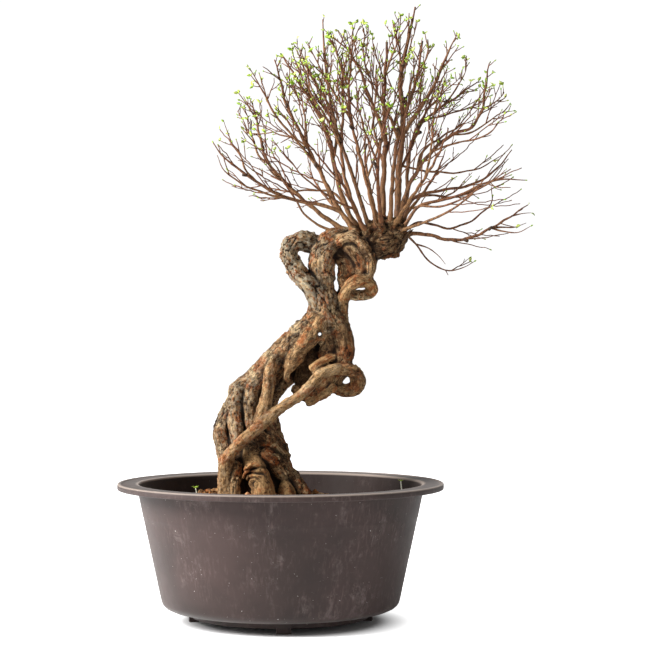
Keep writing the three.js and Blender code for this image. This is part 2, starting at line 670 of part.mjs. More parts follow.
// Shortest distance between two straight pieces, each { from, to, radius }
function pieceDistance(a, b) {
  const d1 = a.to.clone().sub(a.from);
  const d2 = b.to.clone().sub(b.from);
  const r = a.from.clone().sub(b.from);
  const aa = d1.dot(d1);
  const ee = d2.dot(d2);
  const f = d2.dot(r);
  const c = d1.dot(r);
  const bb = d1.dot(d2);
  const denominator = aa * ee - bb * bb;
  let s = denominator > 1e-9 ? THREE.MathUtils.clamp((bb * f - c * ee) / denominator, 0, 1) : 0;
  const t = THREE.MathUtils.clamp((bb * s + f) / ee, 0, 1);
  s = THREE.MathUtils.clamp((bb * t - c) / aa, 0, 1);
  return a.from.clone().addScaledVector(d1, s).distanceTo(b.from.clone().addScaledVector(d2, t));
}

function piecesOf(points, radii, owner) {
  return points.slice(1).map((point, i) => ({
    from: points[i],
    to: point,
    radius: Math.max(radii[i], radii[i + 1]),
    owner,
  }));
}

function isClear(pieces, others, gap) {
  return pieces.every((piece) => others.every((other) => (
    pieceDistance(piece, other) > piece.radius + other.radius + gap
  )));
}

function growTwig(site, azimuth, limit, random) {
  const side = new THREE.Vector3(0, 1, 0).cross(site.direction).normalize();
  const lift = site.direction.clone().cross(side);
  const spread = side.multiplyScalar(Math.cos(azimuth)).addScaledVector(lift, Math.sin(azimuth));
  const angle = THREE.MathUtils.degToRad(TWIG.angle + (random() * 2 - 1) * TWIG.angleSpread);
  const heading = site.direction.clone().multiplyScalar(Math.cos(angle));
  heading.addScaledVector(spread, Math.sin(angle));
  const points = [site.point.clone()];
  while ((points.length - 1) * TWIG.step < limit) {
    const last = points[points.length - 1];
    const outward = last.clone().sub(CROWN_CENTRE).normalize();
    const stray = new THREE.Vector3(random() * 2 - 1, random() * 2 - 1, random() * 2 - 1);
    heading.addScaledVector(outward, TWIG.outward).addScaledVector(UP, TWIG.rise);
    heading.addScaledVector(stray, TWIG.jitter).normalize();
    const next = last.clone().addScaledVector(heading, TWIG.step);
    if (points.length > 2 && crownShare(next) > 1) {
      break;
    }
    points.push(next);
  }
  return points;
}

function taper(count, startRadius, endRadius) {
  const shares = Array.from({ length: count }, (_, i) => i / (count - 1));
  return shares.map((share) => THREE.MathUtils.lerp(startRadius, endRadius, share));
}

// A limb with its forks, as { places, radii } axes; forks start on the limb's own axis.
function limbAxes(limb) {
  const points = limbPoints(limb.path, limb.y, limb.lean);
  const root = points[0].clone().sub(points[1]).setLength(LIMB_ROOT).add(points[0]);
  const axis = (line, radius, bare, cut) => {
    const places = samplePath(line, LIMB_SPACING);
    return { places, radii: taper(places.length, radius, radius * TIP_SHARE + TWIG.tipRadius / 2), bare, cut };
  };
  const forks = (limb.forks ?? []).map((fork) => {
    const start = points[fork.from];
    const line = limbPoints([[start.x, start.z], ...fork.path], start.y, fork.lean);
    return axis(line, fork.radius, TWIG.bare / 2, fork.cut);
  });
  return [axis([root, ...points], limb.radius, TWIG.bare, limb.cut), ...forks];
}

function radiusAt(axis, along) {
  const { places, radii } = axis;
  const share = along / places[places.length - 1].along;
  return THREE.MathUtils.lerp(radii[0], radii[radii.length - 1], share);
}

// Grows the first twigs of all branches, each clear of what belongs to another branch.
function growCrown() {
  const branches = LIMBS.map((limb) => ({ name: limb.name, axes: limbAxes(limb), twigs: [] }));
  const occupied = [];
  branches.forEach((branch) => branch.axes.forEach((axis) => {
    occupied.push(...piecesOf(axis.places.map((place) => place.point), axis.radii, branch.name));
  }));
  branches.forEach((branch, branchIndex) => branch.axes.forEach((axis, axisIndex) => {
    const length = axis.places[axis.places.length - 1].along;
    const curve = new THREE.CatmullRomCurve3(axis.places.map((place) => place.point));
    const count = Math.floor((length - axis.bare) / TWIG.spacing);
    for (let site = 0; site < count; site += 2) {
      const random = makeRandom(1 + branchIndex * 1000 + axisIndex * 100 + site);
      const along = axis.bare + (site + random() * 0.6) * TWIG.spacing;
      const share = along / length;
      const place = { point: curve.getPointAt(share), direction: curve.getTangentAt(share) };
      const limit = (length - along) * TWIG.reach + TWIG.reachExtra;
      const startRadius = Math.max(radiusAt(axis, along) * TWIG.radiusShare, TWIG.leastRadius);
      const others = occupied.filter((piece) => piece.owner !== branch.name);
      for (let attempt = 0; attempt < TWIG.tries; attempt += 1) {
        const azimuth = THREE.MathUtils.degToRad(TWIG.turn * (site + attempt * 1.7) + branchIndex * 50);
        const points = growTwig(place, azimuth, limit, random);
        const radii = taper(points.length, startRadius, TWIG.tipRadius);
        const pieces = piecesOf(points, radii, branch.name);
        if (points.length > 2 && isClear(pieces, others, TWIG.clear)) {
          branch.twigs.push({ points, radii });
          occupied.push(...pieces);
          break;
        }
      }
    }
  }));
  return branches;
}

// A shoot's tube, thinned to a ring every few points, that swells into an opening bud at its tip
function shootSolid(points, radii, sides, every, hasBud) {
  const last = points.length - 1;
  const isKept = (i) => i === last || (i % every === 0 && last - i >= every / 2);
  const rings = points.map((point, i) => [...point.toArray(), radii[i]]).filter((_, i) => isKept(i));
  if (!hasBud) {
    return toSolid(tube(rings, sides));
  }
  const direction = points[last].clone().sub(points[last - 1]).normalize();
  const middle = points[last].clone().addScaledVector(direction, BUD.length * 0.3);
  return toSolid(tube([...rings, [...middle.toArray(), BUD.radius]], sides, BUD.length * 0.7));
}

function branchBody(branch, seat) {
  const limbs = branch.axes.map((axis, i) => {
    const points = axis.places.map((place) => place.point);
    return shootSolid(points, axis.radii, i === 0 ? 4 : 3, 2, !axis.cut);
  });
  const twigs = branch.twigs.map(({ points, radii }) => shootSolid(points, radii, 3, 3, true));
  return largest(fuse([...limbs, ...twigs]).subtract(seat));
}

// Small weeds on the soil: a bare stem and a few leaves
function weedBody({ x, y, height, depth, stemRadius, leafLength }, leaves) {
  const ground = soilHeight(x, y);
  const stem = tube([
    [x, y, ground - depth, stemRadius],
    [x, y, ground + 1, stemRadius],
    [x + 0.8, y, ground + height / 2, stemRadius],
    [x, y, ground + height, stemRadius],
  ], 5);
  const solids = Array.from({ length: leaves }, (_, i) => {
    const leaf = new THREE.OctahedronGeometry(1, 0);
    leaf.scale(leafLength / 2, leafLength / 4, 0.8);
    leaf.rotateY(-0.5);
    leaf.translate(leafLength / 2 - 1, 0, 0.6);
    leaf.rotateZ((i / leaves) * 2 * Math.PI + 0.4);
    leaf.translate(x, y, ground + height);
    return toSolid(leaf);
  });
  return fuse([toSolid(stem), ...solids]);
}

function stemHole({ x, y, depth, stemRadius }) {
  const radius = stemRadius + 2 * CLEARANCE;
  const hole = new THREE.CylinderGeometry(radius, radius, depth * 4, 6);
  hole.rotateX(Math.PI / 2);
  hole.translate(x, y, soilHeight(x, y) + depth - stemRadius);
  return toSolid(hole);
}

// Materials
const MATERIALS = {
  pot: new THREE.MeshStandardMaterial({ color: 0x5c4f50, roughness: 0.5, metalness: 0 }),
  mesh: new THREE.MeshStandardMaterial({ color: 0x2c2a29, roughness: 0.6, metalness: 0 }),
  soil: new THREE.MeshStandardMaterial({ color: 0x9a7148, roughness: 1, metalness: 0 }),
  bark: new THREE.MeshStandardMaterial({ color: 0x8a6540, roughness: 0.9, metalness: 0 }),
  twig: new THREE.MeshStandardMaterial({ color: 0x7a4a30, roughness: 0.8, metalness: 0 }),
  leaf: new THREE.MeshStandardMaterial({ color: 0xa4c23c, roughness: 0.6, metalness: 0 }),
};

const bonsai = new THREE.Group();

function place(name, geometry, material) {
  const mesh = new THREE.Mesh(geometry, material);
  mesh.name = name;
  bonsai.add(mesh);
}

const buried = Object.keys(STRANDS).filter((name) => STRANDS[name].some((point) => point[2] < SUNK_BELOW));
const soil = [SEEDLING, SPROUT].reduce(
  (body, weed) => body.subtract(stemHole(weed)),
  soilBody().subtract(swollen(buried)),
);
const seat = swollen(["archStem", "earRim", "leftLoop", "stub", "stubCrown"]);

place("pot", toGeometry(potBody()), MATERIALS.pot);
place("drainage_mesh", toGeometry(drainageMeshBody()), MATERIALS.mesh);
place("soil", toGeometry(largest(soil)), MATERIALS.soil);
place("trunk", toGeometry(trunkBody()), MATERIALS.bark);
growCrown().forEach((branch) => place(branch.name, toGeometry(branchBody(branch, seat)), MATERIALS.twig));
place("seedling", toGeometry(weedBody(SEEDLING, 2)), MATERIALS.leaf);
place("sprout", toGeometry(weedBody(SPROUT, 3)), MATERIALS.leaf);

const bounds = new THREE.Box3().setFromObject(bonsai);
bonsai.position.set(-(bounds.min.x + bounds.max.x) / 2, -(bounds.min.y + bounds.max.y) / 2, 0);

export default bonsai;
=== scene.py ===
# Chinese elm bonsai in its training pot: the dressed model for the close-up render.
# Lengths below are in millimetres round the pot's own axis, and become metres as a mesh is made.
import bpy
import bmesh
import math
import numpy as np
from mathutils import Vector, Matrix, noise


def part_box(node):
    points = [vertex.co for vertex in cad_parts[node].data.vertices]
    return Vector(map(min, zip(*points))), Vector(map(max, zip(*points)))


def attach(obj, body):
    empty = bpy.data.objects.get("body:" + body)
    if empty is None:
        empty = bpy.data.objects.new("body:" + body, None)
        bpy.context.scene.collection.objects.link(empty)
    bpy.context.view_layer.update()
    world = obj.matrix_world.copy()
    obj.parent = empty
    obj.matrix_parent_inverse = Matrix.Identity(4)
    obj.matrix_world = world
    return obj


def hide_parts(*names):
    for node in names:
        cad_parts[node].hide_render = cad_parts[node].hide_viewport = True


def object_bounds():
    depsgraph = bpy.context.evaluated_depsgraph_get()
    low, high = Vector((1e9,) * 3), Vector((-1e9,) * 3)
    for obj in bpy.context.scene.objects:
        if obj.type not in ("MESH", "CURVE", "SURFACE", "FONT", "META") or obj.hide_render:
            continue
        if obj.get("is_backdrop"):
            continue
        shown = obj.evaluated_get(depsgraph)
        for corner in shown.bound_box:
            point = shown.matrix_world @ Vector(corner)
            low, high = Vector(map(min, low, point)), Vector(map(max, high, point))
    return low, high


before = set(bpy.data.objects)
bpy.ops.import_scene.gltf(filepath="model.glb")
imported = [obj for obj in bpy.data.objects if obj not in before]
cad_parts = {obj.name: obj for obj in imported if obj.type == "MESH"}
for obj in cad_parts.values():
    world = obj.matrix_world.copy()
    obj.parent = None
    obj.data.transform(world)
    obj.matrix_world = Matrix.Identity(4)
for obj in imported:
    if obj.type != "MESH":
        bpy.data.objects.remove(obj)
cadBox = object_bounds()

milli = 0.001
potLow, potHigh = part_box("pot")
potAxis = np.array([(potLow.x + potHigh.x) / 2, (potLow.y + potHigh.y) / 2, 0.0])
boxLow = (np.array(cadBox[0]) - potAxis) / milli
boxHigh = (np.array(cadBox[1]) - potAxis) / milli


# Small tools for meshes

def makePiece(name, points, faces, materials, faceMaterials=None, smooth=True):
    mesh = bpy.data.meshes.new(name)
    placed = np.asarray(points, dtype=float) * milli + potAxis
    mesh.from_pydata(placed.tolist(), [], faces)
    for material in materials:
        mesh.materials.append(material)
    if faceMaterials is not None:
        mesh.polygons.foreach_set("material_index", faceMaterials)
    mesh.polygons.foreach_set("use_smooth", [smooth] * len(mesh.polygons))
    mesh.update()
    piece = bpy.data.objects.new(name, mesh)
    bpy.context.scene.collection.objects.link(piece)
    return piece


def addNumbers(piece, name, values):
    layer = piece.data.attributes.new(name, "FLOAT", "POINT")
    layer.data.foreach_set("value", np.asarray(values, dtype=np.float32))


def addVectors(piece, name, values):
    layer = piece.data.attributes.new(name, "FLOAT_VECTOR", "POINT")
    layer.data.foreach_set("vector", np.asarray(values, dtype=np.float32).ravel())


class Bundle:
    # collects many small closed shapes into the lists of one mesh
    def __init__(self):
        self.points, self.faces, self.slots, self.tones = [], [], [], []
        self.count = 0

    def add(self, points, faces, slot=0, tone=0.5):
        start = self.count
        self.points.append(np.asarray(points, dtype=float))
        self.faces.extend([tuple(corner + start for corner in face) for face in faces])
        self.slots.extend([slot] * len(faces))
        self.tones.append(np.broadcast_to(np.asarray(tone, dtype=float), (len(points),)))
        self.count += len(points)

    def piece(self, name, materials, smooth=True):
        made = makePiece(name, np.concatenate(self.points), self.faces, materials, self.slots, smooth)
        addNumbers(made, "tone", np.concatenate(self.tones))
        return made


def seededDraw(seed):
    # a row of chance numbers from 0 to 1 that is the same on every run
    state = (seed * 2654435761) % 4294967296

    def draw():
        nonlocal state
        state = (state * 1664525 + 1013904223) % 4294967296
        return state / 4294967296

    draw()
    draw()
    return draw


def drawn(draw, pair):
    # a chance value from the first number up, by at most the second
    return pair[0] + pair[1] * draw()


def unit(vector):
    return vector / max(np.linalg.norm(vector), 1e-9)


def smoothCurve(points, perSpan=16):
    # a centripetal curve through the points, as many short straight pieces
    points = np.asarray(points, dtype=float)
    knots = np.vstack([2 * points[0] - points[1], points, 2 * points[-1] - points[-2]])
    pieces = []
    for i in range(1, len(knots) - 2):
        before, start, end, after = knots[i - 1:i + 3]
        pairs = ((before, start), (start, end), (end, after))
        gapBefore, gap, gapAfter = [max(np.linalg.norm(far - near), 1e-4) ** 0.5 for near, far in pairs]
        straight = (end - start) / gap
        leaving = ((start - before) / gapBefore - (end - before) / (gapBefore + gap) + straight) * gap
        arriving = (straight - (after - start) / (gap + gapAfter) + (after - end) / gapAfter) * gap
        share = np.linspace(0, 1, perSpan, endpoint=False)[:, None]
        pieces.append(
            (2 * share ** 3 - 3 * share ** 2 + 1) * start + (share ** 3 - 2 * share ** 2 + share) * leaving
            + (-2 * share ** 3 + 3 * share ** 2) * end + (share ** 3 - share ** 2) * arriving
        )
    return np.vstack([*pieces, points[-1:]])


def lengthsAlong(path):
    return np.concatenate([[0], np.cumsum(np.linalg.norm(np.diff(path, axis=0), axis=1))])


def spaced(path, spacing, leastSteps=2, extra=None):
    # the path laid again in equal steps; extra is a list of values carried along with it
    along = lengthsAlong(path)
    steps = max(leastSteps, int(round(along[-1] / spacing)))
    marks = np.linspace(0, along[-1], steps + 1)
    laid = np.stack([np.interp(marks, along, path[:, k]) for k in range(3)], axis=1)
    if extra is None:
        return laid, marks
    return laid, marks, np.interp(marks, along, extra)


def directionsOf(path):
    steps = np.diff(path, axis=0)
    ahead = np.vstack([steps, steps[-1:]])
    behind = np.vstack([steps[:1], steps])
    both = ahead + behind
    return both / np.maximum(np.linalg.norm(both, axis=1, keepdims=True), 1e-9)


def framesOf(path):
    # a direction, a side and a lift at every point, turned as little as possible on the way
    directions = directionsOf(path)
    side = np.cross(directions[0], [0, 0, 1] if abs(directions[0][2]) < 0.9 else [1, 0, 0])
    sides = np.empty_like(path)
    for i, direction in enumerate(directions):
        side = unit(side - direction * side.dot(direction))
        sides[i] = side
    return directions, sides, np.cross(directions, sides)


def tubeShape(path, radii, count, endBulge=0.5):
    # a closed tube along the path, its ends drawn out to blunt points
    directions, sides, lifts = framesOf(path)
    angles = np.linspace(0, 2 * np.pi, count, endpoint=False)
    across, upright = np.cos(angles)[None, :, None], np.sin(angles)[None, :, None]
    ring = across * sides[:, None] + upright * lifts[:, None]
    points = (path[:, None] + ring * np.asarray(radii)[:, None, None]).reshape(-1, 3)
    last = len(path) - 1
    faces = []
    for i in range(last):
        for k in range(count):
            n = (k + 1) % count
            faces.append((i * count + k, i * count + n, (i + 1) * count + n, (i + 1) * count + k))
    start, end = len(points), len(points) + 1
    caps = np.array([
        path[0] - directions[0] * radii[0] * endBulge, path[-1] + directions[-1] * radii[-1] * endBulge,
    ])
    faces += [(start, (k + 1) % count, k) for k in range(count)]
    faces += [(end, last * count + k, last * count + (k + 1) % count) for k in range(count)]
    return np.vstack([points, caps]), faces


# Small tools for materials

def paint(red, green, blue):
    # a colour as it is read off a screen, 0 to 255, turned into the shader's own scale
    def linear(value):
        value /= 255
        return value / 12.92 if value <= 0.04045 else ((value + 0.055) / 1.055) ** 2.4
    return (linear(red), linear(green), linear(blue), 1)


def startMaterial(name, roughness):
    material = bpy.data.materials.new(name)
    material.use_nodes = True
    tree = material.node_tree
    shader = tree.nodes["Principled BSDF"]
    shader.inputs["Roughness"].default_value = roughness
    return material, tree, shader


def addNode(tree, kind, inputs=None, **settings):
    made = tree.nodes.new("ShaderNode" + kind)
    for key, value in settings.items():
        setattr(made, key, value)
    for key, value in (inputs or {}).items():
        if isinstance(value, bpy.types.NodeSocket):
            tree.links.new(value, made.inputs[key])
        else:
            made.inputs[key].default_value = value
    return made


def place(tree, stretch, attribute=None):
    # texture coordinates in metres, stretched by three factors
    if attribute:
        source = addNode(tree, "Attribute", attribute_name=attribute).outputs["Vector"]
    else:
        source = addNode(tree, "TexCoord").outputs["Object"]
    return addNode(tree, "Mapping", {"Vector": source, "Scale": stretch}).outputs["Vector"]


def noiseOf(tree, vector, scale, detail=4, roughness=0.55, distortion=0):
    made = addNode(tree, "TexNoise", {
        "Vector": vector, "Scale": scale, "Detail": detail,
        "Roughness": roughness, "Distortion": distortion,
    })
    return made.outputs["Fac"]


def number(tree, name):
    # the value that a piece carries at its points under this name
    return addNode(tree, "Attribute", attribute_name=name).outputs["Fac"]


def ramp(tree, value, stops):
    made = addNode(tree, "ValToRGB", {"Fac": value})
    entries = made.color_ramp.elements
    while len(entries) < len(stops):
        entries.new(0.5)
    for entry, (position, colour) in zip(entries, stops):
        entry.position = position
        entry.color = colour if isinstance(colour, tuple) else (colour, colour, colour, 1)
    return made.outputs["Color"]


def blend(tree, amount, first, second):
    made = addNode(tree, "Mix", data_type="RGBA", blend_type="MIX")
    for index, value in ((0, amount), (6, first), (7, second)):
        if isinstance(value, bpy.types.NodeSocket):
            tree.links.new(value, made.inputs[index])
        else:
            made.inputs[index].default_value = value
    return made.outputs[2]


def maths(tree, way, first, second=0.0):
    made = addNode(tree, "Math", operation=way)
    for index, value in enumerate((first, second)):
        if isinstance(value, bpy.types.NodeSocket):
            tree.links.new(value, made.inputs[index])
        else:
            made.inputs[index].default_value = value
    return made.outputs[0]


def bump(tree, shader, height, distance, strength=1.0):
    made = addNode(tree, "Bump", {"Height": height, "Distance": distance, "Strength": strength})
    tree.links.new(made.outputs["Normal"], shader.inputs["Normal"])


# Materials

barkLook = {
    "tan": paint(200, 158, 110),
    "straw": paint(222, 190, 144),
    "orange": paint(174, 94, 44),
    "brown": paint(126, 86, 52),
    "umber": paint(66, 45, 29),
    # dark of the bark's cracks, also used as painted shade in the hollows
    "crevicesAndShade": paint(24, 16, 11),
    "lichen": paint(188, 176, 152),
    "rootTan": paint(222, 176, 118),
    "furrowBump": 0.0026,
}


def barkMaterial():
    material, tree, shader = startMaterial("elm_bark", 0.85)
    position = place(tree, (1, 1, 1))
    patches = noiseOf(tree, position, 46, 4, 0.6, 0.5)
    rust = noiseOf(tree, position, 80, 4, 0.65, 0.8)
    mottle = noiseOf(tree, position, 300, 4, 0.7)
    specks = noiseOf(tree, position, 800, 3, 0.7)
    bands = noiseOf(tree, place(tree, (45, 190, 190), "grain"), 1, 5, 0.65, 0.6)
    furrows = noiseOf(tree, place(tree, (110, 440, 440), "grain"), 1, 5, 0.72, 0.9)
    weave = noiseOf(tree, place(tree, (60, 220, 220), "grain"), 1, 4, 0.65, 0.7)
    threads = noiseOf(tree, place(tree, (120, 900, 900), "grain"), 1, 4, 0.6)
    seams = maths(tree, "ABSOLUTE", maths(tree, "SUBTRACT", weave, 0.5))
    rough, crack, hollowShade = number(tree, "rough"), number(tree, "crack"), number(tree, "hollowShade")

    # flaky bark, as on the old roots and the trunk
    bark = ramp(tree, patches, [
        (0.36, barkLook["brown"]), (0.46, barkLook["tan"]),
        (0.55, barkLook["brown"]), (0.64, barkLook["straw"]),
    ])
    bark = blend(tree, ramp(tree, bands, [(0.4, 0.75), (0.5, 0.0)]), bark, barkLook["umber"])
    bark = blend(tree, ramp(tree, bands, [(0.54, 0.0), (0.64, 0.7)]), bark, barkLook["straw"])
    bark = blend(tree, ramp(tree, rust, [(0.52, 0.0), (0.6, 0.75)]), bark, barkLook["orange"])
    bark = blend(tree, ramp(tree, mottle, [(0.36, 0.8), (0.44, 0.0)]), bark, barkLook["umber"])
    bark = blend(tree, ramp(tree, mottle, [(0.57, 0.0), (0.64, 0.75)]), bark, barkLook["straw"])
    bark = blend(tree, ramp(tree, seams, [(0.0, 0.95), (0.012, 0.8), (0.03, 0.0)]), bark, barkLook["crevicesAndShade"])
    bark = blend(tree, ramp(tree, furrows, [(0.36, 0.95), (0.43, 0.0)]), bark, barkLook["crevicesAndShade"])
    # smooth bark, as on the young roots
    fibres = ramp(tree, threads, [(0.35, 0.4), (0.6, 0.0)])
    sleek = blend(tree, fibres, barkLook["rootTan"], barkLook["brown"])
    sleek = blend(tree, ramp(tree, rust, [(0.5, 0.0), (0.6, 0.75)]), sleek, barkLook["orange"])
    sleek = blend(tree, ramp(tree, bands, [(0.4, 0.75), (0.52, 0.0)]), sleek, barkLook["brown"])
    sleek = blend(tree, ramp(tree, mottle, [(0.36, 0.85), (0.43, 0.0)]), sleek, barkLook["umber"])
    sleek = blend(tree, ramp(tree, mottle, [(0.58, 0.0), (0.66, 0.6)]), sleek, barkLook["straw"])
    sleek = blend(tree, ramp(tree, seams, [(0.0, 0.5), (0.02, 0.0)]), sleek, barkLook["crevicesAndShade"])
    # both together, then specks, lichen and cracks, then painted shade: near black in the hollows, umber on
    # shaded strands
    skin = blend(tree, ramp(tree, rough, [(0.3, 0.0), (0.75, 1.0)]), sleek, bark)
    offRust = ramp(tree, rust, [(0.4, 1.0), (0.54, 0.25)])
    speckled = maths(tree, "MULTIPLY", ramp(tree, specks, [(0.38, 0.8), (0.44, 0.0)]), offRust)
    skin = blend(tree, speckled, skin, barkLook["umber"])
    flakes = ramp(tree, mottle, [(0.46, 0.0), (0.55, 0.78)])
    skin = blend(tree, maths(tree, "MULTIPLY", flakes, number(tree, "lichen")), skin, barkLook["lichen"])
    skin = blend(tree, ramp(tree, crack, [(0.1, 0.0), (0.8, 0.95)]), skin, barkLook["crevicesAndShade"])
    # painted shade: the hollows of the wood darkened to near black
    skin = blend(tree, ramp(tree, hollowShade, [(0.06, 0.0), (0.55, 0.97)]), skin, barkLook["crevicesAndShade"])
    # painted shade: umber over the strands marked below 0, partly darker bark
    skin = blend(tree, number(tree, "shade"), skin, barkLook["umber"])
    tree.links.new(skin, shader.inputs["Base Color"])
    shader.inputs["Specular IOR Level"].default_value = 0.2

    ridge = maths(tree, "MULTIPLY", furrows, maths(tree, "ADD", rough, 0.3))
    height = maths(tree, "ADD", ridge, maths(tree, "MULTIPLY", mottle, 0.5))
    height = maths(tree, "ADD", height, maths(tree, "MULTIPLY", specks, 0.2))
    height = maths(tree, "ADD", height, maths(tree, "MULTIPLY", threads, 0.12))
    bump(tree, shader, height, barkLook["furrowBump"])
    return material


twigLook = {
    "cut": paint(44, 34, 28),
    "young": paint(104, 58, 38),
    "red": paint(122, 74, 46),
    "old": paint(146, 108, 68),
    "shade": paint(52, 32, 23),
}


def twigMaterial():
    material, tree, shader = startMaterial("twig_bark", 0.62)
    age = number(tree, "tone")
    streaks = noiseOf(tree, place(tree, (1, 1, 0.45)), 420, 4, 0.6)
    patches = noiseOf(tree, place(tree, (1, 1, 1)), 60, 3, 0.6)
    wood = ramp(tree, age, [
        (0.04, twigLook["cut"]), (0.14, twigLook["young"]),
        (0.45, twigLook["red"]), (1.0, twigLook["old"]),
    ])
    wood = blend(tree, ramp(tree, patches, [(0.4, 0.0), (0.7, 0.45)]), wood, twigLook["old"])
    wood = blend(tree, ramp(tree, streaks, [(0.36, 0.75), (0.52, 0.0)]), wood, twigLook["shade"])
    tree.links.new(wood, shader.inputs["Base Color"])
    shader.inputs["Specular IOR Level"].default_value = 0.35
    bump(tree, shader, streaks, 0.0005, 0.8)
    return material


leafLook = {
    "lime": paint(186, 212, 78),
    "green": paint(146, 188, 48),
    "yellow": paint(214, 218, 126),
    "brownBud": paint(122, 92, 52),
}


def leafMaterial():
    material, tree, shader = startMaterial("young_leaf", 0.5)
    tone = number(tree, "tone")
    veins = noiseOf(tree, place(tree, (1, 1, 1)), 900, 3, 0.6)
    green = ramp(tree, tone, [
        (0.0, leafLook["brownBud"]), (0.3, leafLook["green"]),
        (0.6, leafLook["lime"]), (1.0, leafLook["yellow"]),
    ])
    green = blend(tree, ramp(tree, veins, [(0.4, 0.35), (0.6, 0.0)]), green, leafLook["green"])
    tree.links.new(green, shader.inputs["Base Color"])
    shader.inputs["Subsurface Weight"].default_value = 0.15
    shader.inputs["Subsurface Radius"].default_value = (0.001, 0.0015, 0.0004)
    bump(tree, shader, veins, 0.0002, 0.6)
    return material


print("materials: bark, twig and leaf are mixed")

# Trunk and roots

trunkLook = {
    "voxel": 1.15,
    "sides": 14,
    "ringSpacing": 2.4,
    "lumps": 0.07,
    "skinOver": 0.25,
    "rounding": 4,
    "roundingMix": (0.45, 0.55),
    "hollowSteps": (16, 60),
    "hollowDepths": (1.1, 4.2),
    "lowest": 76,
    "hole": (33.6, 246, 2.6),    # x, z and radius
    "collar": ((-5, 2.6), (0.5, 1.9), (3.5, 1.15)),    # where a limb leaves the wood: place, times its girth
}

# relief of the bark: waves by the millimetre, heights in millimetres
barkRelief = {
    "grooveAlong": 0.055,
    "grooveAcross": 0.17,
    "groove": 3.6,
    "grooveFull": 0.28,
    "grooveCrack": 0.06,
    "flakeWave": 0.34,
    "flake": 0.8,
    "gritWave": 0.62,
    "grit": 0.75,
    "knobWave": 0.11,
    "knob": 1.1,
    "patchWave": 0.045,
    "foldMiddle": (-20, 120),
    "foldReach": 15,
    "foldFront": -16,
    "foldWave": 1.75,
    "fold": 1.2,
}
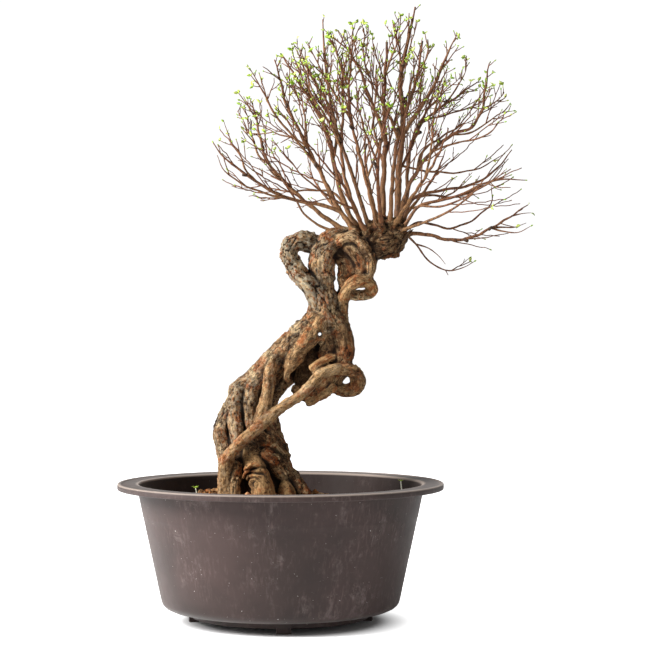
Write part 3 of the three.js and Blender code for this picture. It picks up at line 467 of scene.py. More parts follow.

# each strand: rough from 0 to 1, pale lichen above 0 or painted shade below 0, partly darker bark as on the
# stub, then its centre line and girth from top to bottom
rootStrands = {
    "archStem": (1.1, 0.35, [
        [39, 0, 255, 14.5], [37, -1, 272, 13], [36, 0, 286, 10.5], [35, 0, 301, 11], [36, 1, 315, 11],
        [44, 3, 325, 11], [55, 6, 327, 11.5], [66, 6, 321, 11], [73, 5, 310, 9.5], [74, 3, 299, 8],
    ]),
    "earRim": (0.75, 0.1, [
        [47, -4, 322, 4], [54, -8, 329, 4.5], [62, -9, 329, 4.5], [70, -10, 323, 4.5],
        [75, -9, 314, 4.5], [77, -8, 304, 4.5], [75, -7, 296, 4.5], [67, -7, 294, 4],
    ]),
    "earFold": (1.2, -0.4, [
        [54, -1, 323, 5], [61, -4, 321, 6.5], [67, -5, 314, 7], [70, -5, 305, 6], [68, -5, 298, 5],
    ]),
    "earFill": (1.0, -0.5, [[50, 1, 325, 6], [49.5, 2, 314, 5.5], [57, 2, 309, 7.5], [63, 1, 298, 6.5]]),
    "earLobe": (1.0, 0.0, [[54, 1, 308, 4.5], [53, 0, 299, 4], [53, -1, 291, 4], [55, -3, 284, 4]]),
    "earBack": (0.8, 0.0, [
        [64, 8, 315, 8.5], [57, 9, 303, 6.5], [54, 6, 291, 4.5], [54, 3, 277, 4.5], [53, 2, 262, 5],
    ]),
    "earSheet": (1.0, -0.6, [[62, 9, 324, 8], [64, 10, 313, 10], [66, 8, 301, 9.5], [68, 5, 292, 7]]),
    "lowRingTop": (0.6, 0.0, [
        [53, -3, 260, 4.5], [53, -5, 274, 4.5], [56, -8, 283, 4.5], [62, -10, 290, 5.5],
        [70, -9, 292, 5.5], [77, -5, 289, 5.5], [78.5, -1, 283, 5.5],
    ]),
    "lowRingBottom": (0.8, 0.0, [
        [77, -4, 288, 5], [78, 0, 283, 5.5], [73, 3, 280.5, 4.8], [66, 2, 279.5, 4.4],
        [58, -3, 281, 4.4],
    ]),
    "leftLoop": (1.4, 1.0, [
        [42, 6, 320, 8], [31, 7, 323, 8], [20, 5, 326, 8], [11, 1, 325, 7.5], [7, -2, 318, 7.5],
        [9, -4, 308, 7.5], [15, -6, 298, 8], [23, -8, 289, 8], [30, -8, 281, 8.5], [35, -4, 269, 9.5],
    ]),
    "neck": (0.75, 0.3, [[37, 0, 276, 12], [36, 1, 262, 14.5], [34, 3, 248, 15.5]]),
    "leftLimb": (1.1, 0.25, [
        [32, -2, 258, 12], [18, -3, 247, 10], [6, -3, 236, 9.8], [-4, -3, 226.5, 10],
        [-12, -2, 217, 10.5], [-21, 0, 207, 10],
    ]),
    "innerLimb": (0.65, 0.05, [
        [34, -6, 257, 10.5], [24, -8, 244, 8.5], [17, -9, 234, 7.5], [10, -9, 225, 6],
        [6, -9, 217, 4.2],
    ]),
    "curledLip": (0.6, 0.0, [
        [19, -9, 227, 2.5], [12, -12, 220, 2.6], [6, -13, 214, 2.6], [5, -13, 208, 2.4],
        [8, -12, 205, 1.8],
    ]),
    "rightLimb": (0.9, -0.3, [
        [41, 0, 262, 13], [49, 0, 250, 11], [53, -1, 238, 10], [53, -1, 226, 9], [49, 0, 215, 8.5],
        [42, 3, 205, 7.5], [33, 2, 197, 6.8], [24, -1, 192.5, 6.3], [16, -4, 196, 5],
        [12, -5, 201, 4.5],
    ]),
    "underFold": (0.6, 0.0, [
        [47, -8, 201, 3.5], [38, -10, 195, 3.6], [29, -12, 190, 3.6], [22, -12, 187.5, 3.2],
    ]),
    "hollowBack": (0.95, -0.7, [
        [34, 13, 250, 12], [27, 17, 234, 13.5], [23, 15, 220, 12], [20, 9, 208, 8.5], [17, 3, 199, 5],
    ]),
    "finger": (0.5, 0.0, [
        [48, -2, 229, 4.2], [42, -8, 226, 3.4], [34, -13, 222, 3.5], [26, -15, 216.5, 3.8],
    ]),
    "web": (1.0, -0.5, [[37, -3, 250, 9], [40, -3, 242, 8], [41, -2, 234, 7], [38, 2, 226, 7]]),
    "diagonal": (0.52, 0.3, [
        [57, -6, 215, 4.6], [46, -12, 216.5, 4.6], [35, -17, 212, 4.8], [25, -19, 201.5, 4.8],
        [14, -20, 192.5, 4.6], [1, -22, 184, 4.5], [-11, -25, 174, 4.9], [-24, -27, 163, 5],
        [-36, -26, 152, 5.2], [-44, -24, 142, 5.6], [-47, -22, 131, 6], [-46.5, -20, 117, 7],
        [-45.5, -19, 101, 8], [-45, -19, 82, 6],
    ]),
    "diagonalKnobs": (1.0, 0.0, [
        [-38, -18, 136, 5], [-38, -20, 127, 5.5], [-39, -22, 116, 5.5], [-38, -21, 103, 6],
    ]),
    "hookLoop": (0.58, 0.1, [
        [49, -10, 216, 4.6], [59, -6, 215.5, 5.2], [65.5, -1, 210.5, 6.2], [66.5, 2, 203, 6.6],
        [61, 5, 198.5, 6], [53, 5, 198, 5], [44, 3, 202, 5],
    ]),
    "upright": (0.58, 0.15, [
        [-5, -5, 230, 6], [-8, -12, 216, 4.9], [-10, -16.5, 202, 5.1], [-14, -21.5, 183, 5],
        [-20, -24.5, 172, 4],
    ]),
    "shoulder": (0.85, 0.4, [
        [-14, -5, 214, 7], [-22, -8, 204, 6.5], [-26, -10, 193, 6], [-26, -12, 181, 6],
        [-22, -13, 156, 6],
    ]),
    "leftOuter": (0.8, 0.55, [
        [-14, -1, 215, 8.5], [-26, -3, 206, 8.5], [-35, -5, 200, 8.5], [-38, -8, 191, 7.5],
        [-39, -11, 179, 6.5], [-38, -14, 167, 6], [-36, -16, 154, 5],
    ]),
    "leftLow": (0.8, 0.35, [
        [-35, 0, 194, 7], [-44, -2, 182, 6.5], [-49, -4, 171, 7], [-51, -5, 161, 7],
        [-49, -7, 150, 6.5], [-46, -9, 139, 7], [-42, -10, 128, 7.5], [-41, -10, 113, 7.5],
        [-40, -10, 92, 7],
    ]),
    "rightLow": (0.85, -0.15, [
        [-19, -4, 179, 7], [-13.5, -4, 168, 6.5], [-9, -5, 159, 7], [-1, -6, 149, 7], [1, -7, 139, 7],
        [5, -8, 129, 7], [12, -10, 121, 6.5], [18, -12, 112, 7], [22, -12, 100, 7], [23, -12, 83, 5],
    ]),
    "crossRoot": (0.9, 0.0, [[-24, -12, 163, 7], [-16, -14, 156, 7], [-7, -12, 151, 7], [0, -8, 143, 7]]),
    "underRoot": (0.9, 0.0, [
        [-24, -14, 148, 7.5], [-15, -14, 141, 7.5], [-6, -12, 134, 7.5], [4, -10, 123, 7.5],
        [8, -8, 109, 7.5],
    ]),
    "middleRoot": (0.42, -0.14, [
        [-24, -10, 154, 7.5], [-25, -15, 142, 7.5], [-21, -21, 133, 8], [-17, -25, 123, 9.5],
        [-14, -27, 112, 10.5], [-12, -27, 99, 10], [-11, -26, 80, 7],
    ]),
    "foldOuter": (0.4, 0.0, [
        [-29, -24, 124, 2], [-29, -29, 132, 2], [-22, -31, 137, 2], [-14, -30, 132, 2],
        [-11, -30, 123, 2],
    ]),
    "mound": (0.36, -0.16, [[3, -18, 119, 4], [5, -20, 113, 7], [6, -20, 103, 8], [7, -20, 86, 5]]),
    "crossKnot": (1.0, 0.0, [
        [-14, -20, 146, 4], [-6, -19, 141, 4.5], [1, -16, 135, 4.5], [6, -15, 127, 4],
    ]),
    "recess": (1.0, -0.4, [
        [-37, -4, 168, 7], [-38, -5, 152, 9], [-36, -8, 137, 9], [-35, -11, 123, 8.5],
        [-34, -12, 109, 8], [-34, -12, 90, 6],
    ]),
    "core": (0.9, -0.3, [
        [-4, 4, 221, 10.5], [-15, 3, 205, 11], [-23, 3, 188, 12], [-28, 3, 169, 13],
        [-26, 3, 151, 14.5], [-21, 2, 134, 17], [-19, 0, 119, 20.5], [-17, 0, 104, 23],
        [-16, 0, 85, 19],
    ]),
    "backLimb": (0.8, 0.2, [
        [30, 10, 250, 10.5], [18, 12, 236, 9.5], [6, 12, 222, 8.5], [-4, 13, 208, 8.5],
        [-13, 15, 193, 8.5], [-22, 18, 175, 8.5], [-27, 21, 156, 8.5], [-34, 23, 136, 8.5],
        [-41, 24, 119, 8.5], [-45, 24, 102, 8], [-47, 24, 83, 5],
    ]),
    "backCross": (0.7, 0.1, [
        [49, 8, 237, 8.5], [35, 14, 226, 8.5], [18, 17, 217, 8], [2, 17, 206, 7.5], [-8, 18, 194, 7.5],
        [-12, 20, 180, 8], [-8, 22, 163, 8], [-3, 23, 143, 8], [2, 24, 124, 8], [9, 24, 107, 8],
        [13, 24, 84, 5],
    ]),
    "backMiddle": (0.6, 0.1, [
        [-17, 12, 196, 8.5], [-20, 20, 177, 8.5], [-17, 26, 155, 8.5], [-17, 30, 134, 9],
        [-19, 33, 113, 9.5], [-19, 34, 95, 9], [-19, 34, 78, 5.5],
    ]),
    "backLoop": (0.5, 0.0, [
        [35, 8, 276, 8.5], [46, 14, 265, 7], [51, 18, 252, 6], [49, 19, 236, 6], [41, 18, 222, 6],
        [28, 16, 212, 6],
    ]),
    "stub": (1.5, -0.45, [
        [63, 6, 327, 9.5], [73, 6, 327, 13], [85, 4, 327, 16], [97, 2, 328, 14.5], [105, 0, 328, 9],
    ]),
    "stubCrown": (1.4, -0.45, [[80, 4, 333, 12], [90, 2, 338, 9.5], [99, 0, 338, 8.5]]),
}


def layStrands():
    # lays every strand in short steps, so that any point can find the root it is on
    laid = []
    for index, (rough, lichen, knots) in enumerate(rootStrands.values()):
        knots = np.array(knots, dtype=float)
        path = smoothCurve(knots[:, :3], 12)
        girth = np.interp(np.linspace(0, len(knots) - 1, len(path)), np.arange(len(knots)), knots[:, 3])
        path, marks, girth = spaced(path, trunkLook["ringSpacing"], 4, girth)
        swell = [1 + trunkLook["lumps"] * noise.noise((mark * 0.06, index * 7.3, 1.5)) for mark in marks]
        girth = girth * np.array(swell)
        laid.append({"rough": rough, "lichen": lichen, "path": path, "marks": marks, "girth": girth})
    return laid


laidStrands = layStrands()


def neighbourMean(values, edges, count):
    total = np.zeros_like(values)
    np.add.at(total, edges[:, 0], values[edges[:, 1]])
    np.add.at(total, edges[:, 1], values[edges[:, 0]])
    return total / count


def nearestStrand(points):
    # for each point: the strand it lies on, how far along it and on which side
    centres = np.vstack([strand["path"] for strand in laidStrands]).astype(np.float32)
    girths = np.concatenate([strand["girth"] for strand in laidStrands]).astype(np.float32)
    owners = np.concatenate([[i] * len(strand["path"]) for i, strand in enumerate(laidStrands)])
    marks = np.concatenate([strand["marks"] for strand in laidStrands])
    frames = [framesOf(strand["path"]) for strand in laidStrands]
    sides = np.vstack([each[1] for each in frames])
    lifts = np.vstack([each[2] for each in frames])
    directions = np.vstack([each[0] for each in frames])
    best = np.empty(len(points), dtype=int)
    for start in range(0, len(points), 4000):
        block = points[start:start + 4000].astype(np.float32)
        gaps = np.sqrt(
            (block ** 2).sum(1)[:, None] + (centres ** 2).sum(1)[None] - 2 * block @ centres.T
        ) - girths[None]
        best[start:start + 4000] = gaps.argmin(1)
    offset = points - centres[best]
    along = marks[best] + (offset * directions[best]).sum(1)
    return owners[best], along, (offset * sides[best]).sum(1), (offset * lifts[best]).sum(1)


def makeHole():
    # a slim core along the line of sight, wider at both ends, that is cut out of the wood
    x, z, radius = trunkLook["hole"]
    path = np.array([[x + 0.16, -60, z + 0.3], [x + 0.04, -14, z + 0.07], [x, 0, z], [x - 0.16, 60, z - 0.3]])
    path, marks = spaced(path, 6)
    return makePiece("core_of_hole", *tubeShape(path, radius + 0.0006 * (marks - 60) ** 2, 12), [])


deadStubs = {
    "count": 10,
    "corner": (103, -8, 327),    # their roots lie in a small box: its corner, then its widths
    "spread": (6, 9, 5),
    "length": (5, 4.5),
    "sunk": 3,
    "radius": (0.8, 0.4),
}


def makeDeadStubs():
    # black ends of cut twigs at the right of the stub
    bundle, draw = Bundle(), seededDraw(77)
    for _ in range(deadStubs["count"]):
        root = np.array([low + wide * draw() for low, wide in zip(deadStubs["corner"], deadStubs["spread"])])
        heading = unit(np.array([0.5 + 0.5 * draw(), -0.3 + 0.4 * draw(), 0.2 + 0.8 * draw()]))
        length = drawn(draw, deadStubs["length"])
        bend = np.array([0, 0, 1.2 * draw()])
        line = [
            root - heading * deadStubs["sunk"], root + heading * length * 0.5, root + heading * length + bend,
        ]
        path = spaced(smoothCurve(line), 1.4)[0]
        bundle.add(*tubeShape(path, np.linspace(*deadStubs["radius"], len(path)), 7), 0, 0.0)
    stubs = bundle.piece("dead_twig_stubs", [twigMaterial()])
    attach(stubs, "root")
    print("dead twigs:", deadStubs["count"], "black ends at the right of the stub")


def joinStrands(limbStarts):
    # one skin over all strands, with a collar for each limb and the small hole cut through
    bundle = Bundle()
    for strand in laidStrands:
        bundle.add(*tubeShape(strand["path"], strand["girth"] + trunkLook["skinOver"], trunkLook["sides"]))
    for start, direction, radius in limbStarts:
        reach = np.array([start + direction * along for along, share in trunkLook["collar"]])
        girths = np.array([radius * share for along, share in trunkLook["collar"]])
        bundle.add(*tubeShape(reach, girths, 10))
    wood = bundle.piece("trunk_wood", [])
    remesh = wood.modifiers.new("skin", "REMESH")
    remesh.mode = "VOXEL"
    remesh.voxel_size = trunkLook["voxel"] * milli
    hole = makeHole()
    cut = wood.modifiers.new("small_hole", "BOOLEAN")
    cut.operation, cut.solver, cut.object = "DIFFERENCE", "EXACT", hole
    again = wood.modifiers.new("skin_again", "REMESH")
    again.mode, again.voxel_size = remesh.mode, remesh.voxel_size
    depsgraph = bpy.context.evaluated_depsgraph_get()
    joined = bpy.data.meshes.new_from_object(wood.evaluated_get(depsgraph))
    wood.modifiers.clear()
    bpy.data.objects.remove(hole)
    wood.data = joined
    return wood


def placeSkin(skin, points):
    # moves the corners of the skin and gives back its normals there
    skin.vertices.foreach_set("co", (points * milli + potAxis).ravel())
    skin.update()
    normals = np.empty(len(points) * 3)
    skin.vertex_normals.foreach_get("vector", normals)
    return normals.reshape(-1, 3)


def hollowsOf(points, normals, edges, valence):
    # how deep each point lies below its softened surroundings, close by and farther off; the bark is painted
    # darker there as shade
    soft, hollow = points, np.full(len(points), -np.inf)
    for steps, depth in zip(trunkLook["hollowSteps"], trunkLook["hollowDepths"]):
        for _ in range(steps):
            soft = neighbourMean(soft, edges, valence)
        hollow = np.maximum(hollow, ((soft - points) * normals).sum(1) / depth)
    return hollow


def reliefOf(points, grain, roughness):
    # how far the bark stands out at each point, and how deep it is cracked
    relief = barkRelief
    push, crack = np.empty(len(points)), np.empty(len(points))
    for i, ((x, y, z), (along, across, lift), rough) in enumerate(zip(points, grain, roughness)):
        length, width = relief["grooveAlong"], relief["grooveAcross"]
        groove = abs(noise.noise((along * length, across * width, lift * width)))
        wave = relief["flakeWave"]
        flake = noise.noise((x * wave + 5, y * wave, z * wave))
        wave = relief["knobWave"]
        knob = noise.noise((x * wave, y * wave, z * wave + 9))
        wave = relief["gritWave"]
        grit = noise.noise((x * wave, y * wave, z * wave + 3))
        wave = relief["patchWave"]
        patch = noise.noise((x * wave + 2, y * wave, z * wave))    # smooth patches and flaky ones
        flaky = rough * min(1.4, max(0.25, 0.85 + 1.9 * patch))
        furrow = rough * relief["groove"] * min(groove, relief["grooveFull"]) - 0.6 * rough
        push[i] = furrow + flaky * (relief["flake"] * flake + relief["grit"] * grit)
        push[i] += relief["knob"] * knob * (0.35 + rough) + 0.16 * flake
        crack[i] = rough * max(0, 1 - groove / relief["grooveCrack"])
        crack[i] += 0.7 * flaky * max(0, -flake * 1.6 - 0.35)
    return push, crack


def foldsOf(points):
    # rings of folded bark on the front of the middle root, open to the lower right
    across = points[:, 0] - barkRelief["foldMiddle"][0]
    upward = points[:, 2] - barkRelief["foldMiddle"][1]
    radial = np.hypot(across, upward * 0.9) + 1.3 * np.sin(across * 0.31 + upward * 0.17)
    reach = np.clip((barkRelief["foldReach"] - radial) / 4, 0, 1)
    reach = reach * np.clip(0.55 - (across - upward) / 14, 0, 1)
    rings = np.sin(radial * barkRelief["foldWave"] + 1) * reach
    return np.where(points[:, 1] < barkRelief["foldFront"], rings, 0)


def makeTrunk(limbStarts):
    wood = joinStrands(limbStarts)
    skin = wood.data
    count = len(skin.vertices)
    points = np.empty(count * 3)
    skin.vertices.foreach_get("co", points)
    points = (points.reshape(-1, 3) - potAxis) / milli
    edges = np.empty(len(skin.edges) * 2, dtype=np.int32)
    skin.edges.foreach_get("vertices", edges)
    edges = edges.reshape(-1, 2)
    valence = np.bincount(edges.ravel(), minlength=count)[:, None]
    own, around = trunkLook["roundingMix"]
    for _ in range(trunkLook["rounding"]):
        points = points * own + neighbourMean(points, edges, valence) * around
    normals = placeSkin(skin, points)
    hollow = hollowsOf(points, normals, edges, valence)

    owners, along, across, lift = nearestStrand(points)
    roughness = np.array([strand["rough"] for strand in laidStrands])[owners]
    lichen = np.array([strand["lichen"] for strand in laidStrands])[owners]
    # each strand has its own stretch of the noise
    grain = np.stack([along + owners * 61.0, across, lift], axis=1)
    for _ in range(6):
        roughness = neighbourMean(roughness[:, None], edges, valence)[:, 0]
        lichen = neighbourMean(lichen[:, None], edges, valence)[:, 0]
    push, crack = reliefOf(points, grain, roughness)
    folds = foldsOf(points)
    push += barkRelief["fold"] * folds
    crack = np.maximum(crack, np.clip(-folds * 1.3, 0, 1))
    points = points + normals * push[:, None]
    points[:, 2] = np.clip(points[:, 2], trunkLook["lowest"], None)
    placeSkin(skin, points)

    # how deep each point lies in a hollow, for the painted shade of the bark
    addNumbers(wood, "hollowShade", np.clip(hollow, 0, 1))
    addNumbers(wood, "crack", crack)
    addNumbers(wood, "rough", roughness)
    addNumbers(wood, "lichen", np.clip(lichen, 0, 1))
    # painted shade: umber on strands marked below 0, strongest on the front
    addNumbers(wood, "shade", np.clip(-lichen, 0, 1) * np.clip(1.25 - points[:, 1] / 14, 0.25, 1))
    addVectors(wood, "grain", grain * milli)
    skin.materials.append(barkMaterial())
    skin.polygons.foreach_set("use_smooth", [True] * len(skin.polygons))
    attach(wood, "root")
    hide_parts("trunk")
    print("trunk:", len(skin.polygons) * 2, "triangles of bark")


# Crown of branches

# steps along a limb, how deep it is rooted in the wood, and the share of its girth left at its tip
limbSpacing, limbRoot, tipShare = 13.5, 9, 0.3
# each limb: its depth, how it leans in depth, its girth, whether its end is sawn off,
# and its line in the front view as x and z
limbPlan = {
    "branch_01": (-2, -0.12, 1.1, False, [[42, 336], [30, 341], [20, 350], [11, 364], [2, 378], [-8, 391]]),
    "branch_02": (3, 0.12, 2, False, [
        [52, 337], [34, 350], [16, 365], [1, 380], [-11, 394], [-17, 411], [-20, 425], [-25, 447],
    ]),
    "branch_03": (-5, -0.1, 1.9, False, [
        [61, 337], [52, 350], [38, 356], [16, 360], [-3, 366], [-20, 376], [-37, 388], [-51, 400],
        [-57, 409],
    ]),
    "branch_04": (0, -0.1, 2.1, False, [
        [64, 335], [51, 352], [41, 371], [32, 389], [23, 406], [13, 426], [4, 445], [0, 463], [-5, 480],
    ]),
    "branch_05": (6, 0.1, 2.3, False, [
        [68, 335], [58, 352], [50, 375], [45, 398], [40, 420], [28, 445], [13, 469], [1, 489],
    ]),
    "branch_06": (-3, -0.18, 1.8, True, [
        [72, 334], [62, 358], [55, 380], [52, 404], [53, 428], [53, 452], [52, 480],
    ]),
    "branch_07": (9, 0.22, 1.9, False, [
        [77, 335], [70, 358], [62, 384], [53, 410], [46, 432], [42, 455], [39, 478], [37, 502], [36, 525],
    ]),
    "branch_08": (-6, -0.28, 1.7, False, [
        [82, 341], [75, 370], [67, 400], [60, 428], [58, 452], [60, 476], [61, 499],
    ]),
    "branch_09": (3, 0.06, 2.6, True, [
        [88, 344], [88, 370], [89, 392], [90, 413], [89, 430], [89, 448], [90, 470], [92, 499],
    ]),
    "branch_10": (-6, -0.16, 1.9, True, [
        [94, 343], [95, 368], [97, 392], [100, 412], [106, 432], [112, 450], [117, 470], [120, 494],
    ]),
    "branch_11": (4, 0.03, 3.1, False, [
        [101, 343], [101, 368], [102, 392], [105, 418], [105, 440], [103, 464], [107, 488], [112, 510],
        [116, 529],
    ]),
    "branch_12": (-4, -0.14, 2, False, [
        [102, 345], [107, 366], [117, 386], [129, 402], [146, 416], [162, 422], [171, 436], [174, 455],
        [177, 476],
    ]),
    "branch_13": (10.5, 0.2, 1.9, False, [
        [103, 342], [109, 366], [110, 390], [114, 414], [126, 434], [143, 447], [160, 459], [173, 469],
    ]),
    "branch_14": (0, 0.12, 1.6, False, [
        [106, 345], [114, 363], [137, 370], [160, 374], [176, 381], [190, 393], [200, 406],
    ]),
    "branch_15": (-8, -0.12, 1.5, False, [
        [106, 339], [119, 356], [140, 361], [158, 367], [174, 375], [192, 378], [208, 377],
    ]),
    "branch_16": (7.5, 0.2, 1.2, False, [
        [106, 335], [120, 343], [145, 338], [162, 343], [175, 352], [184, 363], [183, 375],
    ]),
    "branch_17": (-2, -0.1, 1.7, False, [
        [108, 332.5], [124, 332], [145, 327], [163, 329], [180, 337], [197, 347], [211, 357],
    ]),
    "branch_18": (2, 0.1, 0.9, False, [
        [109, 331], [116, 324], [129, 308], [145, 301], [158, 304], [167, 309],
    ]),
    "branch_19": (-11, -0.9, 1.6, False, [[72, 336], [63, 352], [54, 370], [46, 388], [40, 406]]),
    "branch_20": (-13, -1, 1.8, False, [[86, 341], [83, 364], [82, 388], [85, 410], [90, 430]]),
    "branch_21": (-12, -0.95, 1.6, False, [[98, 341], [110, 360], [122, 378], [132, 396], [139, 414]]),
    "branch_22": (-12, -0.7, 1.4, False, [[103, 335], [122, 341], [141, 349], [158, 361], [170, 375]]),
    "branch_23": (13, 0.85, 1.6, False, [[70, 335], [57, 347], [44, 361], [32, 377], [23, 394]]),
    "branch_24": (14, 1, 1.8, False, [[86, 339], [80, 362], [76, 386], [74, 408], [75, 430]]),
    "branch_25": (12, 0.9, 1.6, False, [[99, 338], [113, 356], [127, 374], [139, 393], [147, 412]]),
}
# each fork: its limb and the knot it leaves from, then the same as for a limb
forkPlan = [
    ("branch_02", 4, 0.2, 1, False, [[-19, 400], [-24, 414], [-33, 431], [-38, 441]]),
    ("branch_02", 3, -0.2, 0.8, False, [[-6, 384], [-13, 392], [-20, 399]]),
    ("branch_02", 3, 0.5, 0.8, False, [[-3, 390], [-9, 398], [-11, 407]]),
    ("branch_03", 3, -0.3, 1.1, False, [[-9, 365], [-33, 374], [-48, 386], [-53, 397]]),
    ("branch_03", 5, 0.1, 0.9, False, [[-30, 387], [-35, 400], [-43, 412], [-48, 428]]),
    ("branch_04", 3, -0.25, 1.3, False, [[20, 404], [8, 418], [-4, 432], [-13, 449], [-25, 470]]),
    ("branch_04", 4, 0.2, 0.8, False, [[14, 413], [-2, 418], [-20, 427]]),
    ("branch_04", 4, 0.3, 0.9, False, [[22, 418], [20, 436], [17, 456]]),
    ("branch_05", 1, 0.15, 1.1, False, [[46, 368], [28, 371], [8, 370], [-10, 373], [-23, 377]]),
    ("branch_05", 3, 0.25, 1.4, False, [[48, 416], [45, 438], [33, 460], [22, 482], [16, 496]]),
    ("branch_06", 3, -0.3, 1.1, False, [[44, 422], [32, 440], [20, 460], [10, 484]]),
    ("branch_06", 5, -0.1, 0.9, False, [[57, 466], [61, 480], [66, 495]]),
    ("branch_07", 4, 0.3, 1, False, [[36, 446], [26, 464], [19, 484], [13, 504]]),
    ("branch_08", 4, -0.2, 0.9, False, [[52, 468], [47, 484], [43, 498]]),
    ("branch_08", 3, -0.4, 1, False, [[50, 442], [40, 458], [31, 474], [24, 488]]),
    ("branch_09", 3, -0.2, 1.7, False, [[84, 432], [76, 450], [69, 470], [60, 486], [45, 500]]),
    ("branch_09", 2, 0.3, 1.1, True, [[83, 412], [80, 431], [82, 452], [83, 482]]),
    ("branch_09", 6, -0.2, 0.8, False, [[95, 484], [100, 498], [98, 513]]),
    ("branch_10", 6, -0.2, 0.9, True, [[124, 480], [125, 495]]),
    ("branch_10", 3, -0.3, 1, False, [[93, 430], [84, 446], [76, 462], [70, 482], [73, 501]]),
    ("branch_11", 3, -0.1, 1.9, False, [[114, 432], [124, 447], [133, 463], [140, 480], [151, 503]]),
    ("branch_11", 5, 0.15, 0.9, False, [[103, 484], [102, 505], [104, 522]]),
    ("branch_11", 2, 0.15, 1, False, [[120, 388], [141, 386], [160, 387], [178, 393], [193, 403]]),
    ("branch_12", 6, 0.1, 0.8, False, [[177, 440], [187, 447], [190, 451]]),
    ("branch_12", 4, 0.1, 0.8, False, [[162, 418], [178, 428], [188, 435], [199, 437]]),
    ("branch_12", 3, -0.3, 0.9, False, [[146, 408], [162, 411], [175, 415], [187, 427], [198, 433]]),
    ("branch_12", 2, 0.3, 1.3, True, [[121, 402], [137, 415], [158, 428]]),
    ("branch_13", 4, 0.3, 0.9, False, [[143, 438], [160, 444], [175, 450], [183, 463]]),
    ("branch_13", 3, 0.35, 1.1, False, [[120, 430], [134, 450], [148, 464], [158, 474]]),
    ("branch_13", 5, 0.1, 0.8, False, [[154, 463], [161, 476], [163, 487]]),
    ("branch_14", 1, 0.3, 1.1, False, [[126, 366], [150, 365], [169, 372], [186, 382], [195, 396]]),
    ("branch_15", 1, -0.4, 1, False, [[137, 355], [154, 361], [168, 369], [182, 377], [189, 384]]),
    ("branch_17", 5, 0.2, 0.8, False, [[205, 349], [214, 350]]),
    ("branch_17", 4, 0.3, 0.8, False, [[190, 338], [202, 338], [211, 342]]),
    ("branch_17", 4, -0.3, 0.8, False, [[190, 334], [202, 333], [213, 338]]),
    ("branch_18", 1, -0.3, 0.7, False, [[127, 320], [135, 314], [141, 306]]),
    ("branch_19", 1, -0.7, 1.1, False, [[50, 357], [35, 366], [20, 377], [8, 391]]),
    ("branch_20", 2, -0.4, 1, False, [[74, 406], [67, 426], [64, 446]]),
    ("branch_21", 2, -0.4, 1, False, [[126, 400], [127, 422], [131, 444]]),
    ("branch_23", 2, 0.5, 1, False, [[38, 380], [33, 400], [31, 420]]),
    ("branch_24", 2, 0.4, 1, False, [[84, 408], [90, 430], [93, 452]]),
    ("branch_25", 1, 0.6, 1.1, False, [[132, 362], [152, 372], [168, 386]]),
]

# the first twigs, by the same rule as in the solid model
twigPlan = {
    "bare": 52, "spacing": 18.5, "step": 7, "angle": 34, "angleSpread": 16, "turn": 137.5, "outward": 0.1,
    "rise": 0.035, "jitter": 0.07, "reach": 0.55, "reachExtra": 16, "radiusShare": 0.5, "leastRadius": 0.55,
    "tipRadius": 0.4, "tries": 4, "clear": 1.1,
}
# the crown's outline seen from its centre: degrees from straight up to the right, and the reach there
crownCentre = np.array([88.0, 0.0, 340.0])
crownOutline = np.array([
    [-180, 80], [-110, 95], [-85, 128], [-65, 161], [-50, 170], [-30, 177], [-10, 178], [8, 186],
    [22, 173], [37, 159], [47, 151], [60, 131], [83, 128], [112, 84], [180, 80],
], dtype=float)
crownDepth = 128

# fine shoots by kind: where they start and how they are spaced, their angles, their length by what is
# left of the twig that carries them, the girth at both ends, and how freely they are kept low down
shootKinds = {
    "limbSpur": {
        "start": 2, "spacing": (8, 16), "angles": (35, 65),
        "length": lambda rest: 3 + rest * 0.1, "step": 3,
        "girth": (0.48, 0.32), "sides": 5, "tone": 0.3, "kept": 0.2,
    },
    "side": {
        "start": 8, "spacing": (8, 15), "angles": (26, 48),
        "length": lambda rest: 4 + rest * 0.42, "step": 4,
        "girth": (0.42, 0.3), "sides": 5, "tone": 0.25, "kept": 0.1,
    },
    "spur": {
        "start": 3, "spacing": (7, 14), "angles": (35, 60),
        "length": lambda rest: 2 + 4 * min(rest / 20, 1), "step": 2.5,
        "girth": (0.34, 0.28), "sides": 4, "tone": 0.2,
    },
}
fineTwigs = {
    "extraStart": (30, 10),    # on a limb and on a fork
    "extraSpacing": 13.5,
    "extraReach": 0.36,
    "extraLength": 9,
    "extraAngle": (26, 24),
    "extraStep": 5,
    "extraGirth": (0.62, 0.36),
    "sideStray": 0.35,
    "kink": 0.16,
    "spursOnSides": 10,    # only on side shoots at least this long
}
limbLook = {
    "ringSpacing": 3,
    "sides": 8,
    "nodes": (8, 5),    # spacing of the nodes, least and spread
    "bend": 1.1,
    "bendFull": 30,
    "nodeSwell": 0.2,
    "lumps": 0.16,
    "endTaper": (0.55, 0.45, 25),
    "footFlare": (0.55, 20),
    "tones": (1, 0.4),
    "cutTone": 0.02,
    "cutLength": 5,
    "cutSwell": 1.15,
    "stumps": ((0.42, 0.16), (0.66, 0.18)),
    "stumpsFrom": 1.7,    # only on limbs at least this thick
    "stumpAngle": (30, 25),
    "stumpGirth": (1.25, 1.05, 0.8),
    "endSpurs": (0.86, 0.93, 0.985),
    "endSpursAbove": 440,
    "endSpurAngle": (35, 25),
    "endSpurLength": (3, 4),
    "endSpurGirth": (0.5, 0.4, 0.32),
}
greenPlan = {
    "share": 0.34,
    "outerFrom": 0.6,
    "budShare": 0.5,
    "leaves": 2.8,
    "leafTurn": 2.4,
    "leafLength": (2.4, 5.0),
    "leafWidth": (0.5, 0.2),
    "leafFold": (0.35, 0.4),
    "leafCurl": (0.1, 0.3),
    "leafTone": (0.35, 0.6),
    "leafThick": 0.12,
    "budLength": (1.2, 1.2),
    "budTone": (0.05, 0.5),
}
